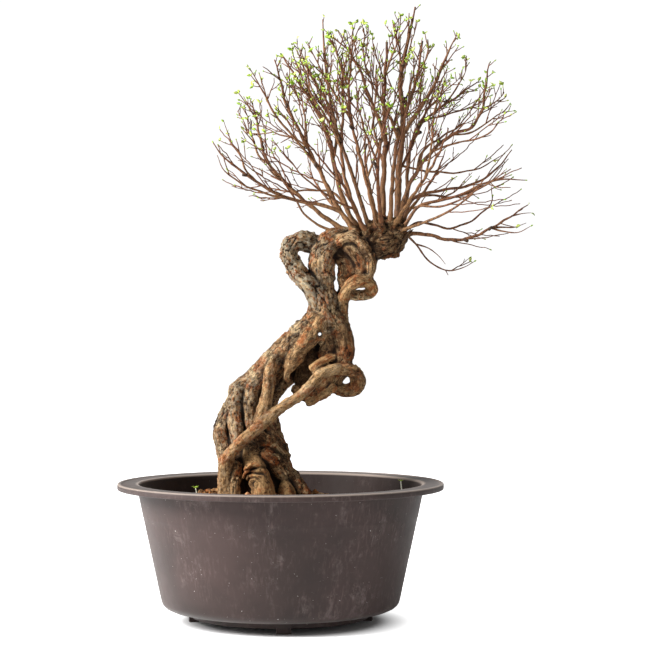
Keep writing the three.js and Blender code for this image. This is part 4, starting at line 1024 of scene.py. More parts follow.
# which fine shoots are kept: a height, the span above it until all are, and the least share below it;
# then where the right side starts, how far down it counts in full, and how many are lost there
crownFill = {
    "height": (378, 50, 0.16),
    "right": (95, 50),
    "rightBelow": (450, 40, 0.25),
    "rightLoss": 0.6,
}


def limbPath(path, y, lean):
    # a line of the front view, x and z, with a depth that grows along it
    path = np.array(path, dtype=float)
    return np.stack([path[:, 0], y + lean * lengthsAlong(path), path[:, 1]], axis=1)


def sampleAxis(knots, radius, bare, cut):
    fine = smoothCurve(knots, 24)
    laid, marks = spaced(fine, limbSpacing)
    radii = np.linspace(radius, radius * tipShare + twigPlan["tipRadius"] / 2, len(laid))
    return {
        "fine": fine, "places": laid, "marks": marks, "radii": radii,
        "radius": radius, "bare": bare, "cut": cut,
    }


def limbAxes(name):
    # the limb of this name and all of its forks
    y, lean, radius, cut, line = limbPlan[name]
    knots = limbPath(line, y, lean)
    root = knots[0] + unit(knots[0] - knots[1]) * limbRoot
    axes = [sampleAxis(np.vstack([root, knots]), radius, twigPlan["bare"], cut)]
    for owner, knot, lean, radius, cut, line in forkPlan:
        if owner == name:
            x, y, z = knots[knot]
            line = limbPath([[x, z], *line], y, lean)
            axes.append(sampleAxis(line, radius, twigPlan["bare"] / 2, cut))
    return axes


def crownShare(point):
    # how far out a point lies: 1 on the outline of the crown
    offset = point - crownCentre
    distance = max(np.linalg.norm(offset), 1e-6)
    direction = offset / distance
    heading = math.degrees(math.atan2(direction[0], direction[2]))
    across = np.interp(heading, crownOutline[:, 0], crownOutline[:, 1])
    depth = direction[1] ** 2
    return distance * math.sqrt((1 - depth) / across ** 2 + depth / crownDepth ** 2)


def piecesClear(path, radii, others, gap):
    # true where every straight piece of the path stays clear of the other branches' pieces
    if not len(others):
        return True
    starts, spans, girths = others[:, :3], others[:, 3:6] - others[:, :3], others[:, 6]
    spanSquare = (spans * spans).sum(1)
    for i in range(len(path) - 1):
        step = path[i + 1] - path[i]
        offset = path[i] - starts
        stepSquare, together = step @ step, spans @ step
        alongSpan, alongStep = (spans * offset).sum(1), offset @ step
        spread = stepSquare * spanSquare - together * together
        skew = spread > 1e-9
        share = (together * alongSpan - alongStep * spanSquare) / np.where(skew, spread, 1)
        share = np.where(skew, np.clip(share, 0, 1), 0)
        other = np.clip((together * share + alongSpan) / spanSquare, 0, 1)
        share = np.clip((together * other - alongStep) / stepSquare, 0, 1)
        apart = path[i] + step * share[:, None] - starts - spans * other[:, None]
        if (np.linalg.norm(apart, axis=1) <= max(radii[i], radii[i + 1]) + girths + gap).any():
            return False
    return True


def straightPieces(path, radii):
    return np.hstack([path[:-1], path[1:], np.maximum(radii[:-1], radii[1:])[:, None]])


def anyWay(draw):
    return np.array([draw() * 2 - 1, draw() * 2 - 1, draw() * 2 - 1])


def growTwig(origin, direction, azimuth, limit, draw):
    side = unit(np.cross([0, 1, 0], direction))
    lift = np.cross(direction, side)
    spread = side * math.cos(azimuth) + lift * math.sin(azimuth)
    angle = math.radians(twigPlan["angle"] + (draw() * 2 - 1) * twigPlan["angleSpread"])
    heading = direction * math.cos(angle) + spread * math.sin(angle)
    path = [origin]
    while (len(path) - 1) * twigPlan["step"] < limit:
        last = path[-1]
        outward = unit(last - crownCentre)
        stray = anyWay(draw)
        heading = heading + outward * twigPlan["outward"] + np.array([0, 0, twigPlan["rise"]])
        heading = unit(heading + stray * twigPlan["jitter"])
        ahead = last + heading * twigPlan["step"]
        if len(path) > 2 and crownShare(ahead) > 1:
            break
        path.append(ahead)
    return np.array(path)


def alongAxis(axis, along):
    fine = axis["fine"]
    lengths = lengthsAlong(fine)
    point = np.array([np.interp(along, lengths, fine[:, k]) for k in range(3)])
    ahead = np.array([np.interp(along + 1.5, lengths, fine[:, k]) for k in range(3)])
    behind = np.array([np.interp(along - 1.5, lengths, fine[:, k]) for k in range(3)])
    return point, unit(ahead - behind)


def growFirstTwigs(branches):
    # the twigs that the solid model has too, one at every second place along each limb
    occupied = []
    for index, branch in enumerate(branches):
        for axis in branch["axes"]:
            occupied.append((index, straightPieces(axis["places"], axis["radii"])))
    for index, branch in enumerate(branches):
        for axisIndex, axis in enumerate(branch["axes"]):
            length = axis["marks"][-1]
            count = int(math.floor((length - axis["bare"]) / twigPlan["spacing"]))
            for site in range(0, count, 2):
                draw = seededDraw(1 + index * 1000 + axisIndex * 100 + site)
                along = axis["bare"] + (site + draw() * 0.6) * twigPlan["spacing"]
                origin, direction = alongAxis(axis, along)
                limit = (length - along) * twigPlan["reach"] + twigPlan["reachExtra"]
                girth = axis["radii"][0] + (axis["radii"][-1] - axis["radii"][0]) * along / length
                startRadius = max(girth * twigPlan["radiusShare"], twigPlan["leastRadius"])
                others = np.vstack([pieces for owner, pieces in occupied if owner != index])
                for attempt in range(twigPlan["tries"]):
                    azimuth = math.radians(twigPlan["turn"] * (site + attempt * 1.7) + index * 50)
                    path = growTwig(origin, direction, azimuth, limit, draw)
                    radii = np.linspace(startRadius, twigPlan["tipRadius"], len(path))
                    if len(path) > 2 and piecesClear(path, radii, others, twigPlan["clear"]):
                        branch["twigs"].append((path, radii))
                        occupied.append((index, straightPieces(path, radii)))
                        break


def insideBox(point, margin=1.2):
    return bool((point > boxLow + margin).all() and (point < boxHigh - margin).all())


def turnedAway(direction, azimuth, degrees):
    # the heading of a side shoot: so many degrees off the direction of what carries it
    side = unit(np.cross([0, 1, 0], direction))
    spread = side * math.cos(azimuth) + np.cross(direction, side) * math.sin(azimuth)
    angle = math.radians(degrees)
    return direction * math.cos(angle) + spread * math.sin(angle)


def growShoot(origin, heading, length, step, draw, outward=0.06, rise=0.04):
    # a fine shoot that kinks a little at every bud and turns outward and up
    path = [origin]
    while (len(path) - 1) * step < length:
        last = path[-1]
        stray = anyWay(draw) * fineTwigs["kink"]
        heading = unit(heading + unit(last - crownCentre) * outward + np.array([0, 0, rise]) + stray)
        ahead = last + heading * step
        if crownShare(ahead) > 1.0 or not insideBox(ahead):
            break
        path.append(ahead)
    return np.array(path)


def sideShoots(path, draw, kind):
    # shoots that leave a twig by turns on its two sides
    plan = shootKinds[kind]
    (least, most), angles = plan["spacing"], plan["angles"]
    lengths = lengthsAlong(path)
    along = plan["start"] + draw() * least * 0.5
    plane = unit(anyWay(draw))
    turn = 1
    shoots = []
    while along < lengths[-1] - 2:
        index = int(np.searchsorted(lengths, along)) - 1
        index = min(max(index, 0), len(path) - 2)
        direction = unit(path[index + 1] - path[index])
        origin = path[index] + direction * (along - lengths[index])
        across = unit(np.cross(direction, plane))
        across = unit(across * turn + anyWay(draw) * fineTwigs["sideStray"])
        angle = math.radians(angles[0] + draw() * (angles[1] - angles[0]))
        heading = direction * math.cos(angle) + across * math.sin(angle)
        length = plan["length"](lengths[-1] - along) * (0.55 + 0.6 * draw())
        shoot = growShoot(origin, heading, length, plan["step"], draw)
        if len(shoot) > 1:
            shoots.append(shoot)
        turn = -turn
        along += least + draw() * (most - least)
    return shoots


def keepShare(point):
    # how many of the fine shoots stand here
    middle, span, least = crownFill["height"]
    high = min(max((point[2] - middle) / span, least), 1)
    middle, span = crownFill["right"]
    right = min(max((point[0] - middle) / span, 0), 1)
    top, span, least = crownFill["rightBelow"]
    right = right * min(max((top - point[2]) / span, least), 1)
    return high * (1 - crownFill["rightLoss"] * right)


def leafShape(base, direction, up, length, width, fold, curl):
    # one folded young leaf, a thin closed blade that tapers at both ends
    side = unit(np.cross(direction, up))
    up = unit(np.cross(side, direction))
    stations = [(0.0, 0.12), (0.3, 0.9), (0.62, 0.85), (0.9, 0.3)]    # shares of the length and the width
    thick = greenPlan["leafThick"]
    points = []
    for share, spread in stations:
        middle = base + direction * length * share - up * curl * length * share ** 2
        edge = width * 0.5 * spread
        points += [
            middle + side * edge + up * edge * fold, middle + up * thick,
            middle - side * edge + up * edge * fold, middle - up * thick,
        ]
    faces = []
    for i in range(len(stations) - 1):
        for k in range(4):
            n = (k + 1) % 4
            faces.append((i * 4 + k, i * 4 + n, (i + 1) * 4 + n, (i + 1) * 4 + k))
    start, end = len(points), len(points) + 1
    last = (len(stations) - 1) * 4
    points += [base - direction * 0.2, base + direction * length - up * curl * length]
    faces += [(start, (k + 1) % 4, k) for k in range(4)]
    faces += [(end, last + k, last + (k + 1) % 4) for k in range(4)]
    return points, faces


def addLeaves(bundle, tip, direction, draw, scale=1.0):
    # one to three young leaves, set round the tip
    count = 1 + int(draw() * greenPlan["leaves"])
    spin = draw() * 6.28
    side = unit(np.cross(direction, [0.3, 0.2, 1]))
    lift = np.cross(direction, side)
    for i in range(count):
        angle = spin + i * greenPlan["leafTurn"]
        spread = side * math.cos(angle) + lift * math.sin(angle)
        heading = unit(direction * (0.5 + 0.5 * draw()) + spread * 0.8 + np.array([0, 0, 0.15]))
        low, high = greenPlan["leafLength"]
        length = (low + draw() * (high - low)) * scale
        face = unit(np.cross(spread, heading) + direction * 0.3)
        width = length * drawn(draw, greenPlan["leafWidth"])
        fold = drawn(draw, greenPlan["leafFold"])
        curl = drawn(draw, greenPlan["leafCurl"])
        points, faces = leafShape(tip, heading, face, length, width, fold, curl)
        if insideBox(np.array(points), 0.3):
            bundle.add(points, faces, 1, drawn(draw, greenPlan["leafTone"]))


def addBud(bundle, tip, direction, draw):
    # a closed bud, a short spindle
    length = drawn(draw, greenPlan["budLength"])
    path = np.array([tip - direction * 0.3, tip + direction * length * 0.45, tip + direction * length])
    if insideBox(path[-1], 0.3):
        girth = np.array([0.36, 0.55 + 0.2 * draw(), 0.15])
        bundle.add(*tubeShape(path, girth, 4), 1, drawn(draw, greenPlan["budTone"]))


def limbTube(bundle, axis, age, seed, isMain):
    # a limb bends a little at each of its nodes, where the bark swells
    fine, marks = spaced(axis["fine"], limbLook["ringSpacing"], 4)
    radii = np.linspace(axis["radii"][0], axis["radii"][-1], len(fine))
    sides, lifts = framesOf(fine)[1:]
    draw = seededDraw(seed)
    spacing = drawn(draw, limbLook["nodes"])
    kink = np.abs((marks / spacing) % 2 - 1) - 0.5
    swell = np.exp(-(((marks % spacing) - spacing / 2) / 1.6) ** 2)
    rough = np.array([noise.noise((mark * 0.16, seed * 1.7, 0)) for mark in marks])
    shift = (kink * limbLook["bend"] * np.clip(marks / limbLook["bendFull"], 0, 1))[:, None]
    turn = draw() * 6.28
    fine = fine + shift * (sides * math.cos(turn) + lifts * math.sin(turn))
    radii = radii * (1 + limbLook["nodeSwell"] * swell + limbLook["lumps"] * rough)
    if not axis["cut"]:
        least, gain, reach = limbLook["endTaper"]
        radii = radii * np.clip(least + gain * (marks[-1] - marks) / reach, least, 1)
    if isMain:
        flare, reach = limbLook["footFlare"]
        radii = radii * (1 + flare * np.clip(1 - marks / reach, 0, 1))
    tones = np.linspace(*limbLook["tones"], len(fine)) * age    # younger bark towards the end
    if axis["cut"]:
        radii[-1] *= limbLook["cutSwell"]
        tones = np.where(marks > marks[-1] - limbLook["cutLength"], limbLook["cutTone"], tones)
    count = limbLook["sides"]
    tones = np.concatenate([np.repeat(tones, count), [tones[0], tones[-1]]])
    bundle.add(*tubeShape(fine, radii, count, 0.2 if axis["cut"] else 0.5), 0, tones)
    return fine


def addStumps(bundle, axis, draw):
    # dark stumps of twigs that were cut off the limb years ago
    shares = [drawn(draw, pair) for pair in limbLook["stumps"]]
    for share in shares:
        origin, direction = alongAxis(axis, axis["marks"][-1] * share)
        radius = float(np.interp(share, [0, 1], [axis["radii"][0], axis["radii"][-1]]))
        spin = draw() * 6.28
        heading = turnedAway(direction, spin, drawn(draw, limbLook["stumpAngle"]))
        length = radius * 1.4 + 2 + 2.5 * draw()
        path = np.array([
            origin - heading * 0.5, origin + heading * length * 0.6, origin + heading * length,
        ])
        girth = radius * np.array(limbLook["stumpGirth"]) + 0.25
        tones = np.repeat([0.1, 0.04, 0.0, 0.1, 0.0], [8, 8, 8, 1, 1])    # darkest at the cut
        bundle.add(*tubeShape(path, girth, 8, 0.3), 0, tones)


def addEndSpurs(bundle, axis, draw):
    # short spurs with young leaves or buds near the open end of a limb
    for share in limbLook["endSpurs"]:
        origin, direction = alongAxis(axis, axis["marks"][-1] * share)
        spin = draw() * 6.28
        heading = turnedAway(direction, spin, drawn(draw, limbLook["endSpurAngle"]))
        length = drawn(draw, limbLook["endSpurLength"])
        end = origin + heading * length + [0, 0, 0.6]
        path = np.array([origin, origin + heading * length * 0.5, end])
        if insideBox(end, 3):
            bundle.add(*tubeShape(path, np.array(limbLook["endSpurGirth"]), 5), 0, 0.25)
            if draw() < 0.6:
                addLeaves(bundle, end, heading, draw, 0.8)
            else:
                addBud(bundle, end, heading, draw)


def addShoot(bundle, path, kind):
    # the tube of a fine shoot; gives back its tip and the way it points
    plan = shootKinds[kind]
    bundle.add(*tubeShape(path, np.linspace(*plan["girth"], len(path)), plan["sides"]), 0, plan["tone"])
    return path[-1], unit(path[-1] - path[-2])


def addLimb(bundle, tips, axis, index, order, age, draw):
    # a limb or a fork, with spurs near its open end and stumps on the thicker limbs
    fine = limbTube(bundle, axis, age, index * 10 + order, order == 0)
    if not axis["cut"]:
        tips.append((fine[-1], unit(fine[-1] - fine[-2])))
        if fine[-1][2] > limbLook["endSpursAbove"]:
            addEndSpurs(bundle, axis, seededDraw(9000 + index * 10 + order))
    if order == 0 and axis["radius"] >= limbLook["stumpsFrom"]:
        addStumps(bundle, axis, draw)


def extraTwigs(axis, index, order, draw):
    # finer twigs along a limb, most of them where the crown is dense
    twigs, turn = [], 0
    length = axis["marks"][-1]
    along = fineTwigs["extraStart"][0 if order == 0 else 1] + draw() * 8
    while along < length - 4:
        origin, direction = alongAxis(axis, along)
        azimuth = math.radians(twigPlan["turn"] * turn + 70 + index * 31 + draw() * 40)
        limit = (length - along) * fineTwigs["extraReach"] + fineTwigs["extraLength"]
        limit = limit * (0.35 + 0.8 * draw())
        heading = turnedAway(direction, azimuth, drawn(draw, fineTwigs["extraAngle"]))
        path = growShoot(origin, heading, limit, fineTwigs["extraStep"], draw, 0.1, 0.05)
        if len(path) > 2 and draw() < keepShare(path[0]):
            twigs.append((path, np.linspace(*fineTwigs["extraGirth"], len(path))))
        turn += 1
        along += fineTwigs["extraSpacing"] * (0.6 + 0.8 * draw())
    return twigs


def addLimbSpurs(bundle, tips, axis, draw):
    # short spurs straight off the outer half of a limb
    outer = axis["fine"][lengthsAlong(axis["fine"]) > axis["marks"][-1] * 0.5]
    if len(outer) > 3:
        for spur in sideShoots(outer, draw, "limbSpur"):
            if draw() <= keepShare(spur[0]) + shootKinds["limbSpur"]["kept"]:
                tips.append(addShoot(bundle, spur, "limbSpur"))


def addTwig(bundle, tips, path, radii, index, draw):
    # a twig that wavers a little, its side shoots and their spurs
    count = len(path)
    marks = np.linspace(0, count - 1, (count - 1) * 6 + 1)
    radii = np.interp(marks, np.arange(count), radii)
    fine, marks, girth = spaced(smoothCurve(path, 6), 4, 3, radii)
    stray = [[noise.noise((mark * 0.17, index + k * 9.1, count)) for k in range(3)] for mark in marks]
    fine = fine + np.array(stray) * np.clip(marks / 20, 0, 1)[:, None] * 1.3
    bundle.add(*tubeShape(fine, girth, 6), 0, np.linspace(0.5, 0.2, len(fine) * 6 + 2))
    tips.append((fine[-1], unit(fine[-1] - fine[-2])))
    for side in sideShoots(fine, draw, "side"):
        if draw() > keepShare(side[0]) + shootKinds["side"]["kept"]:
            continue
        tips.append(addShoot(bundle, side, "side"))
        if lengthsAlong(side)[-1] >= fineTwigs["spursOnSides"]:
            for spur in sideShoots(side, draw, "spur"):
                tips.append(addShoot(bundle, spur, "spur"))


def addGreen(bundle, tips, draw):
    # young leaves and buds on the tips, more of them towards the outline of the crown
    for tip, direction in tips:
        outer = np.clip((crownShare(tip) - greenPlan["outerFrom"]) / 0.3, 0.04, 1)
        chance = greenPlan["share"] * outer
        if draw() < chance * (0.3 + 0.9 * keepShare(tip)):
            addLeaves(bundle, tip, direction, draw)
        elif draw() < greenPlan["budShare"]:
            addBud(bundle, tip, direction, draw)


def growCrown():
    branches = [{"name": name, "axes": limbAxes(name), "twigs": []} for name in limbPlan]
    growFirstTwigs(branches)
    bark, leaf = twigMaterial(), leafMaterial()
    starts, triangles, tipCount = [], 0, 0
    for index, branch in enumerate(branches):
        bundle, tips = Bundle(), []
        draw = seededDraw(5000 + index)
        age = 0.55 + 0.45 * draw()
        twigs = list(branch["twigs"])
        for order, axis in enumerate(branch["axes"]):
            addLimb(bundle, tips, axis, index, order, age, draw)
            twigs += extraTwigs(axis, index, order, draw)
            addLimbSpurs(bundle, tips, axis, draw)
        for path, radii in twigs:
            addTwig(bundle, tips, path, radii, index, draw)
        addGreen(bundle, tips, draw)
        limb = branch["axes"][0]
        start, after = limb["places"][:2]
        way = unit(after - start)
        starts.append((start + way * (limbRoot - 2), way, limb["radius"]))
        piece = bundle.piece(branch["name"] + "_twigs", [bark, leaf])
        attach(piece, "root")
        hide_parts(branch["name"])
        triangles += sum(len(face) - 2 for face in bundle.faces)
        tipCount += len(tips)
    print("crown:", triangles, "triangles,", tipCount, "tips")
    return starts


limbStarts = growCrown()
makeTrunk(limbStarts)
makeDeadStubs()

# Pot

potLook = {
    "segments": 160,
    # the rim's edge points, where a painted highlight runs round the pot
    "edgePoints": [(139, 119), (139.8, 118.5), (136.9, 118.7), (122.8, 118.5), (121.6, 117.9)],
    "body": paint(68, 52, 49),
    "dark": paint(52, 40, 37),
    # painted shade on the inside of the pot, under the rim
    "innerShade": paint(38, 29, 26),
    "worn": paint(114, 95, 92),
    "scuff": paint(150, 136, 132),
    "speck": paint(200, 192, 186),
    # painted highlight along the rim's edges
    "edge": paint(176, 160, 148),
    "dust": 0.22,
    "dustTint": (0.9, 0.86, 0.82, 1),
    "feet": (3, 93, 183, 273),
    "foot": (4.6, 70, 79, 9.4),    # half its angle, inner and outer radius, height of its top
}
# radius and height, from the hole in the floor round the outside and back down the inside
potOutline = [
    (16, 9), (72, 9), (72, 4.5), (76, 4.5), (76, 9), (79.3, 9), (79.6, 9.25), (90, 10.3), (95.2, 11.6),
    (98.6, 13.2), (100.6, 15), (101.6, 16.6), (102.2, 18.4), (103.3, 23), (116.6, 85), (117.6, 89.8),
    (117.95, 90.5), (118.2, 91.8), (122.3, 111.6), (122.7, 113.6), (123.5, 114.8), (125, 115.5),
    (136.4, 115.7), (136.9, 115.2), (137, 114.2), (137.5, 113.8), (139.3, 113.8), (139.8, 114.1),
    (140, 114.8), (140, 117.6), (139.8, 118.5), (139, 119), (137.4, 119), (136.9, 118.7),
    (136.5, 118.35), (135.9, 118.5), (134, 118.7), (125, 118.7), (122.8, 118.5), (121.6, 117.9),
    (120.7, 116.5), (120.2, 114), (119.8, 111.4), (101, 23.5), (99.8, 18.8), (98.4, 16.2), (95.6, 14),
    (90, 12.6), (80, 11.4), (16, 11.4),
]


def potMaterial():
    material, tree, shader = startMaterial("training_pot_plastic", 0.46)
    position = place(tree, (1, 1, 1))
    cloud = noiseOf(tree, position, 14, 4, 0.6, 0.3)
    fade = noiseOf(tree, position, 26, 5, 0.7)
    streak = noiseOf(tree, place(tree, (1, 1, 0.07)), 420, 3, 0.7)
    rubs = noiseOf(tree, place(tree, (1, 1, 0.6)), 70, 6, 0.8, 0.4)
    scratch = noiseOf(tree, place(tree, (0.3, 0.3, 6)), 60, 5, 0.75, 1.2)
    speck = noiseOf(tree, position, 520, 2, 0.5)
    plastic = ramp(tree, cloud, [(0.35, potLook["dark"]), (0.62, potLook["body"])])
    # fine upright lines, rubbed haze and scratches, each stronger where the plastic has faded
    lines = ramp(tree, streak, [(0.5, 0.0), (0.74, 0.6)])
    lines = maths(tree, "MULTIPLY", lines, ramp(tree, fade, [(0.42, 0.0), (0.62, 1.0)]))
    plastic = blend(tree, lines, plastic, potLook["worn"])
    haze = ramp(tree, rubs, [(0.52, 0.0), (0.74, 0.7)])
    haze = maths(tree, "MULTIPLY", haze, ramp(tree, fade, [(0.48, 0.0), (0.64, 1.0)]))
    plastic = blend(tree, haze, plastic, potLook["scuff"])
    marks = ramp(tree, scratch, [(0.67, 0.0), (0.71, 1.0)])
    marks = maths(tree, "MULTIPLY", marks, ramp(tree, fade, [(0.45, 0.0), (0.6, 0.8)]))
    plastic = blend(tree, maths(tree, "MULTIPLY", marks, 0.6), plastic, potLook["scuff"])
    dots = ramp(tree, speck, [(0.745, 0.0), (0.775, 1.0)])
    plastic = blend(tree, dots, plastic, potLook["speck"])
    # painted shade: the inside wall of the pot is darkened
    plastic = blend(tree, maths(tree, "MULTIPLY", number(tree, "inner"), 0.8), plastic, potLook["innerShade"])
    # painted highlight: a light line along the rim's edges
    plastic = blend(tree, maths(tree, "MULTIPLY", number(tree, "edge"), 0.75), plastic, potLook["edge"])
    tree.links.new(plastic, shader.inputs["Base Color"])
    gloss = ramp(tree, fade, [(0.35, 0.44), (0.7, 0.6)])
    gloss = maths(tree, "ADD", gloss, maths(tree, "MULTIPLY", number(tree, "inner"), 0.35))
    tree.links.new(gloss, shader.inputs["Roughness"])
    shader.inputs["Specular IOR Level"].default_value = 0.32
    shader.inputs["Sheen Weight"].default_value = potLook["dust"]
    shader.inputs["Sheen Roughness"].default_value = 0.45
    shader.inputs["Sheen Tint"].default_value = potLook["dustTint"]
    grit = noiseOf(tree, position, 900, 3, 0.6)
    bump(tree, shader, maths(tree, "ADD", maths(tree, "MULTIPLY", grit, 0.4), marks), 0.0001, 0.5)
    return material


def latheShape(outline, segments):
    # a closed outline, radius and height, turned round the pot's axis
    count = len(outline)
    angles = np.linspace(0, 2 * np.pi, segments, endpoint=False)
    outline = np.array(outline, dtype=float)
    points = np.stack([
        np.outer(np.cos(angles), outline[:, 0]), np.outer(np.sin(angles), outline[:, 0]),
        np.tile(outline[:, 1], (segments, 1)),
    ], axis=2).reshape(-1, 3)
    faces = []
    for i in range(segments):
        here, there = i * count, (i + 1) % segments * count
        for k in range(count):
            n = (k + 1) % count
            faces.append((here + k, there + k, there + n, here + n))
    return points, faces


def footShape(middle):
    # one curved foot under the ring, 12 mm long, with its ends and lower edges taken off a little
    half, inner, outer, top = potLook["foot"]
    angles = np.radians(np.linspace(middle - half, middle + half, 5))
    points, faces = [], []
    for i, angle in enumerate(angles):
        end = 0.6 if i in (0, len(angles) - 1) else 0.0
        corners = [
            (inner + end, 0.5), (inner + 0.5 + end, 0), (outer - 0.5 - end, 0), (outer - end, 0.5),
            (outer - end, top), (inner + end, top),
        ]
        for radius, height in corners:
            points.append((radius * math.cos(angle), radius * math.sin(angle), height))
        if i:
            for k in range(6):
                n = (k + 1) % 6
                faces.append(((i - 1) * 6 + k, i * 6 + k, i * 6 + n, (i - 1) * 6 + n))
    faces += [tuple(range(6)), tuple(range(len(points) - 1, len(points) - 7, -1))]
    return points, faces


def makePot():
    bundle = Bundle()
    bundle.add(*latheShape(potOutline, potLook["segments"]))
    for middle in potLook["feet"]:
        bundle.add(*footShape(middle))
    piece = bundle.piece("pot_shell", [potMaterial()])
    # where the painted highlight of the rim lies
    edge = [float(point in potLook["edgePoints"]) for point in potOutline] * potLook["segments"]
    inside = potOutline.index(potLook["edgePoints"][-1])    # the soil side begins after the rim
    inner = [float(index > inside) for index in range(len(potOutline))] * potLook["segments"]
    feet = np.zeros(len(piece.data.vertices) - len(edge))
    addNumbers(piece, "edge", np.concatenate([edge, feet]))
    addNumbers(piece, "inner", np.concatenate([inner, feet]))
    crease = piece.modifiers.new("keep_edges", "EDGE_SPLIT")
    crease.split_angle = math.radians(42)
    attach(piece, "root")
    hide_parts("pot")
    print("pot:", len(bundle.faces), "faces")


makePot()

# Soil

soilLook = {
    "edge": 96,
    "mound": (-12, 5, 66, 15),    # x, y, radius and rise
    "heap": (-64, 8, 15, 5),
    "radius": 116.3,
    "scattered": (115.2, 116.4),
    "soil_grains": {"count": 2200, "sizes": (3.0, 6.2), "fineness": 2, "seed": 21, "sink": 0.1},
    "soil_crumbs": {"count": 4200, "sizes": (1.5, 3.0), "fineness": 1, "seed": 22, "sink": 0.0},
    # place, three half widths and tone: an orange stone between the front roots, two pale ones at the right
    "stones": [
        (-27.5, -31, 109.6, 2.6, 2.4, 3.6, 0.86),
        (34, 0, 107.4, 4.4, 3.4, 2.8, 0.93),
        (39.5, 2, 106.6, 3.4, 3, 2.6, 0.5),
    ],
    "bedRings": 46,
    "bedSegments": 120,
    "bedSkirt": [(99.4, 19.2), (94.4, 13.8), (79.5, 11.9), (24.4, 11.9), (24.4, 13.3)],
    "tan": paint(176, 132, 86),
    "orange": paint(190, 112, 52),
    "brown": paint(96, 66, 44),
    "dark": paint(52, 38, 28),
    "pale": paint(206, 184, 150),
}


def soilHeight(x, y):
    height = soilLook["edge"]
    for middleX, middleY, radius, rise in (soilLook["mound"], soilLook["heap"]):
        height += rise * math.exp(-((math.hypot(x - middleX, y - middleY) / radius) ** 3))
    return height


def soilMaterial(name, scale):
    material, tree, shader = startMaterial(name, 0.92)
    tone = number(tree, "tone")
    mottle = noiseOf(tree, place(tree, (1, 1, 1)), scale, 5, 0.65)
    colour = ramp(tree, tone, [
        (0.0, soilLook["dark"]), (0.25, soilLook["brown"]), (0.55, soilLook["tan"]),
        (0.8, soilLook["orange"]), (1.0, soilLook["pale"]),
    ])
    colour = blend(tree, ramp(tree, mottle, [(0.35, 0.6), (0.55, 0.0)]), colour, soilLook["dark"])
    colour = blend(tree, ramp(tree, mottle, [(0.6, 0.0), (0.75, 0.4)]), colour, soilLook["pale"])
    tree.links.new(colour, shader.inputs["Base Color"])
    shader.inputs["Specular IOR Level"].default_value = 0.2
    bump(tree, shader, mottle, 0.0008, 0.9)
    return material


def roundStone(fineness):
    # a unit ball with few faces, as the start of every grain
    mesh = bpy.data.meshes.new("ball")
    ball = bmesh.new()
    bmesh.ops.create_icosphere(ball, subdivisions=fineness, radius=1)
    ball.to_mesh(mesh)
    ball.free()
    points = np.empty(len(mesh.vertices) * 3)
    mesh.vertices.foreach_get("co", points)
    faces = [tuple(face.vertices) for face in mesh.polygons]
    bpy.data.meshes.remove(mesh)
    return points.reshape(-1, 3), faces


def scatterGrains(name, material):
    plan = soilLook[name]
    (small, large), count = plan["sizes"], plan["count"]
    spread, limit = soilLook["scattered"]
    random = np.random.default_rng(plan["seed"])
    ball, faces = roundStone(plan["fineness"])
    bundle = Bundle()
    centres = np.vstack([strand["path"] for strand in laidStrands])
    girths = np.concatenate([strand["girth"] for strand in laidStrands])
    low = centres[:, 2] < 135    # only this much of the roots can touch the soil
    centres, girths = centres[low], girths[low]
    golden = math.pi * (3 - math.sqrt(5))
    for i in range(count):
        size = small + (large - small) * random.random() ** 1.6
        radius = spread * math.sqrt((i + 0.5) / count) + random.normal() * 0.8
        radius = min(radius, limit - size * 0.6)
        angle = i * golden + random.normal() * 0.02
        x, y = radius * math.cos(angle), radius * math.sin(angle)
        z = soilHeight(x, y) + random.normal() * 0.7 - size * plan["sink"]
        if (np.linalg.norm(centres - [x, y, z], axis=1) < girths - size * 0.35).any():
            continue
        stretch = 0.5 * size * np.array([1, 0.72 + 0.3 * random.random(), 0.6 + 0.3 * random.random()])
        spin = random.random() * 6.28
        turn = np.array(Matrix.Rotation(spin, 3, Vector(random.normal(size=3)).normalized()))
        dents = 1 + 0.16 * random.normal(size=(len(ball), 1)).clip(-1.6, 1.6)
        points = (ball * dents * stretch) @ turn.T + [x, y, z]
        tone = float(np.clip(random.normal(0.5, 0.22), 0, 1))
        bundle.add(points, faces, 0, tone)
    if name == "soil_grains":
        for x, y, z, length, width, height, tone in soilLook["stones"]:
            bundle.add(ball * [length, width, height] + [x, y, z], faces, 0, tone)
    piece = bundle.piece(name, [material], smooth=False)
    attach(piece, "root")
    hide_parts("soil")
    print("soil:", name, len(bundle.faces), "faces")


def makeSoilBed():
    # the wavy ground under the grains, closed below along the inside of the pot
    rings, segments, skirt = soilLook["bedRings"], soilLook["bedSegments"], soilLook["bedSkirt"]
    angles = [2 * math.pi * k / segments for k in range(segments)]
    points, faces = [(0, 0, soilHeight(0, 0) - 1.5)], []
    for ring in range(1, rings + 1):
        radius = soilLook["radius"] * ring / rings
        for angle in angles:
            x, y = radius * math.cos(angle), radius * math.sin(angle)
            points.append((x, y, soilHeight(x, y) - 1.6 + 1.1 * noise.noise((x * 0.25, y * 0.25, 4))))
    for k in range(segments):
        faces.append((0, 1 + k, 1 + (k + 1) % segments))
    for radius, height in skirt:
        points += [(radius * math.cos(angle), radius * math.sin(angle), height) for angle in angles]
    for ring in range(rings - 1 + len(skirt)):
        inner, outer = 1 + ring * segments, 1 + (ring + 1) * segments
        for k in range(segments):
            n = (k + 1) % segments
            faces.append((inner + k, outer + k, outer + n, inner + n))
    last = 1 + (rings - 1 + len(skirt)) * segments
    faces.append(tuple(last + k for k in range(segments))[::-1])
    bundle = Bundle()
    tones = [0.32 + 0.3 * noise.noise((x * 0.3, y * 0.3, 8)) for x, y, _ in points]
    bundle.add(points, faces, 0, tones)
    piece = bundle.piece("soil_bed", [soilMaterial("soil_fines", 420)])
    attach(piece, "root")
    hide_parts("soil")
    print("soil: bed of", len(faces), "faces")


grainMaterial = soilMaterial("soil_grains", 700)
makeSoilBed()
scatterGrains("soil_grains", grainMaterial)
scatterGrains("soil_crumbs", grainMaterial)

# Weeds and the drainage mesh

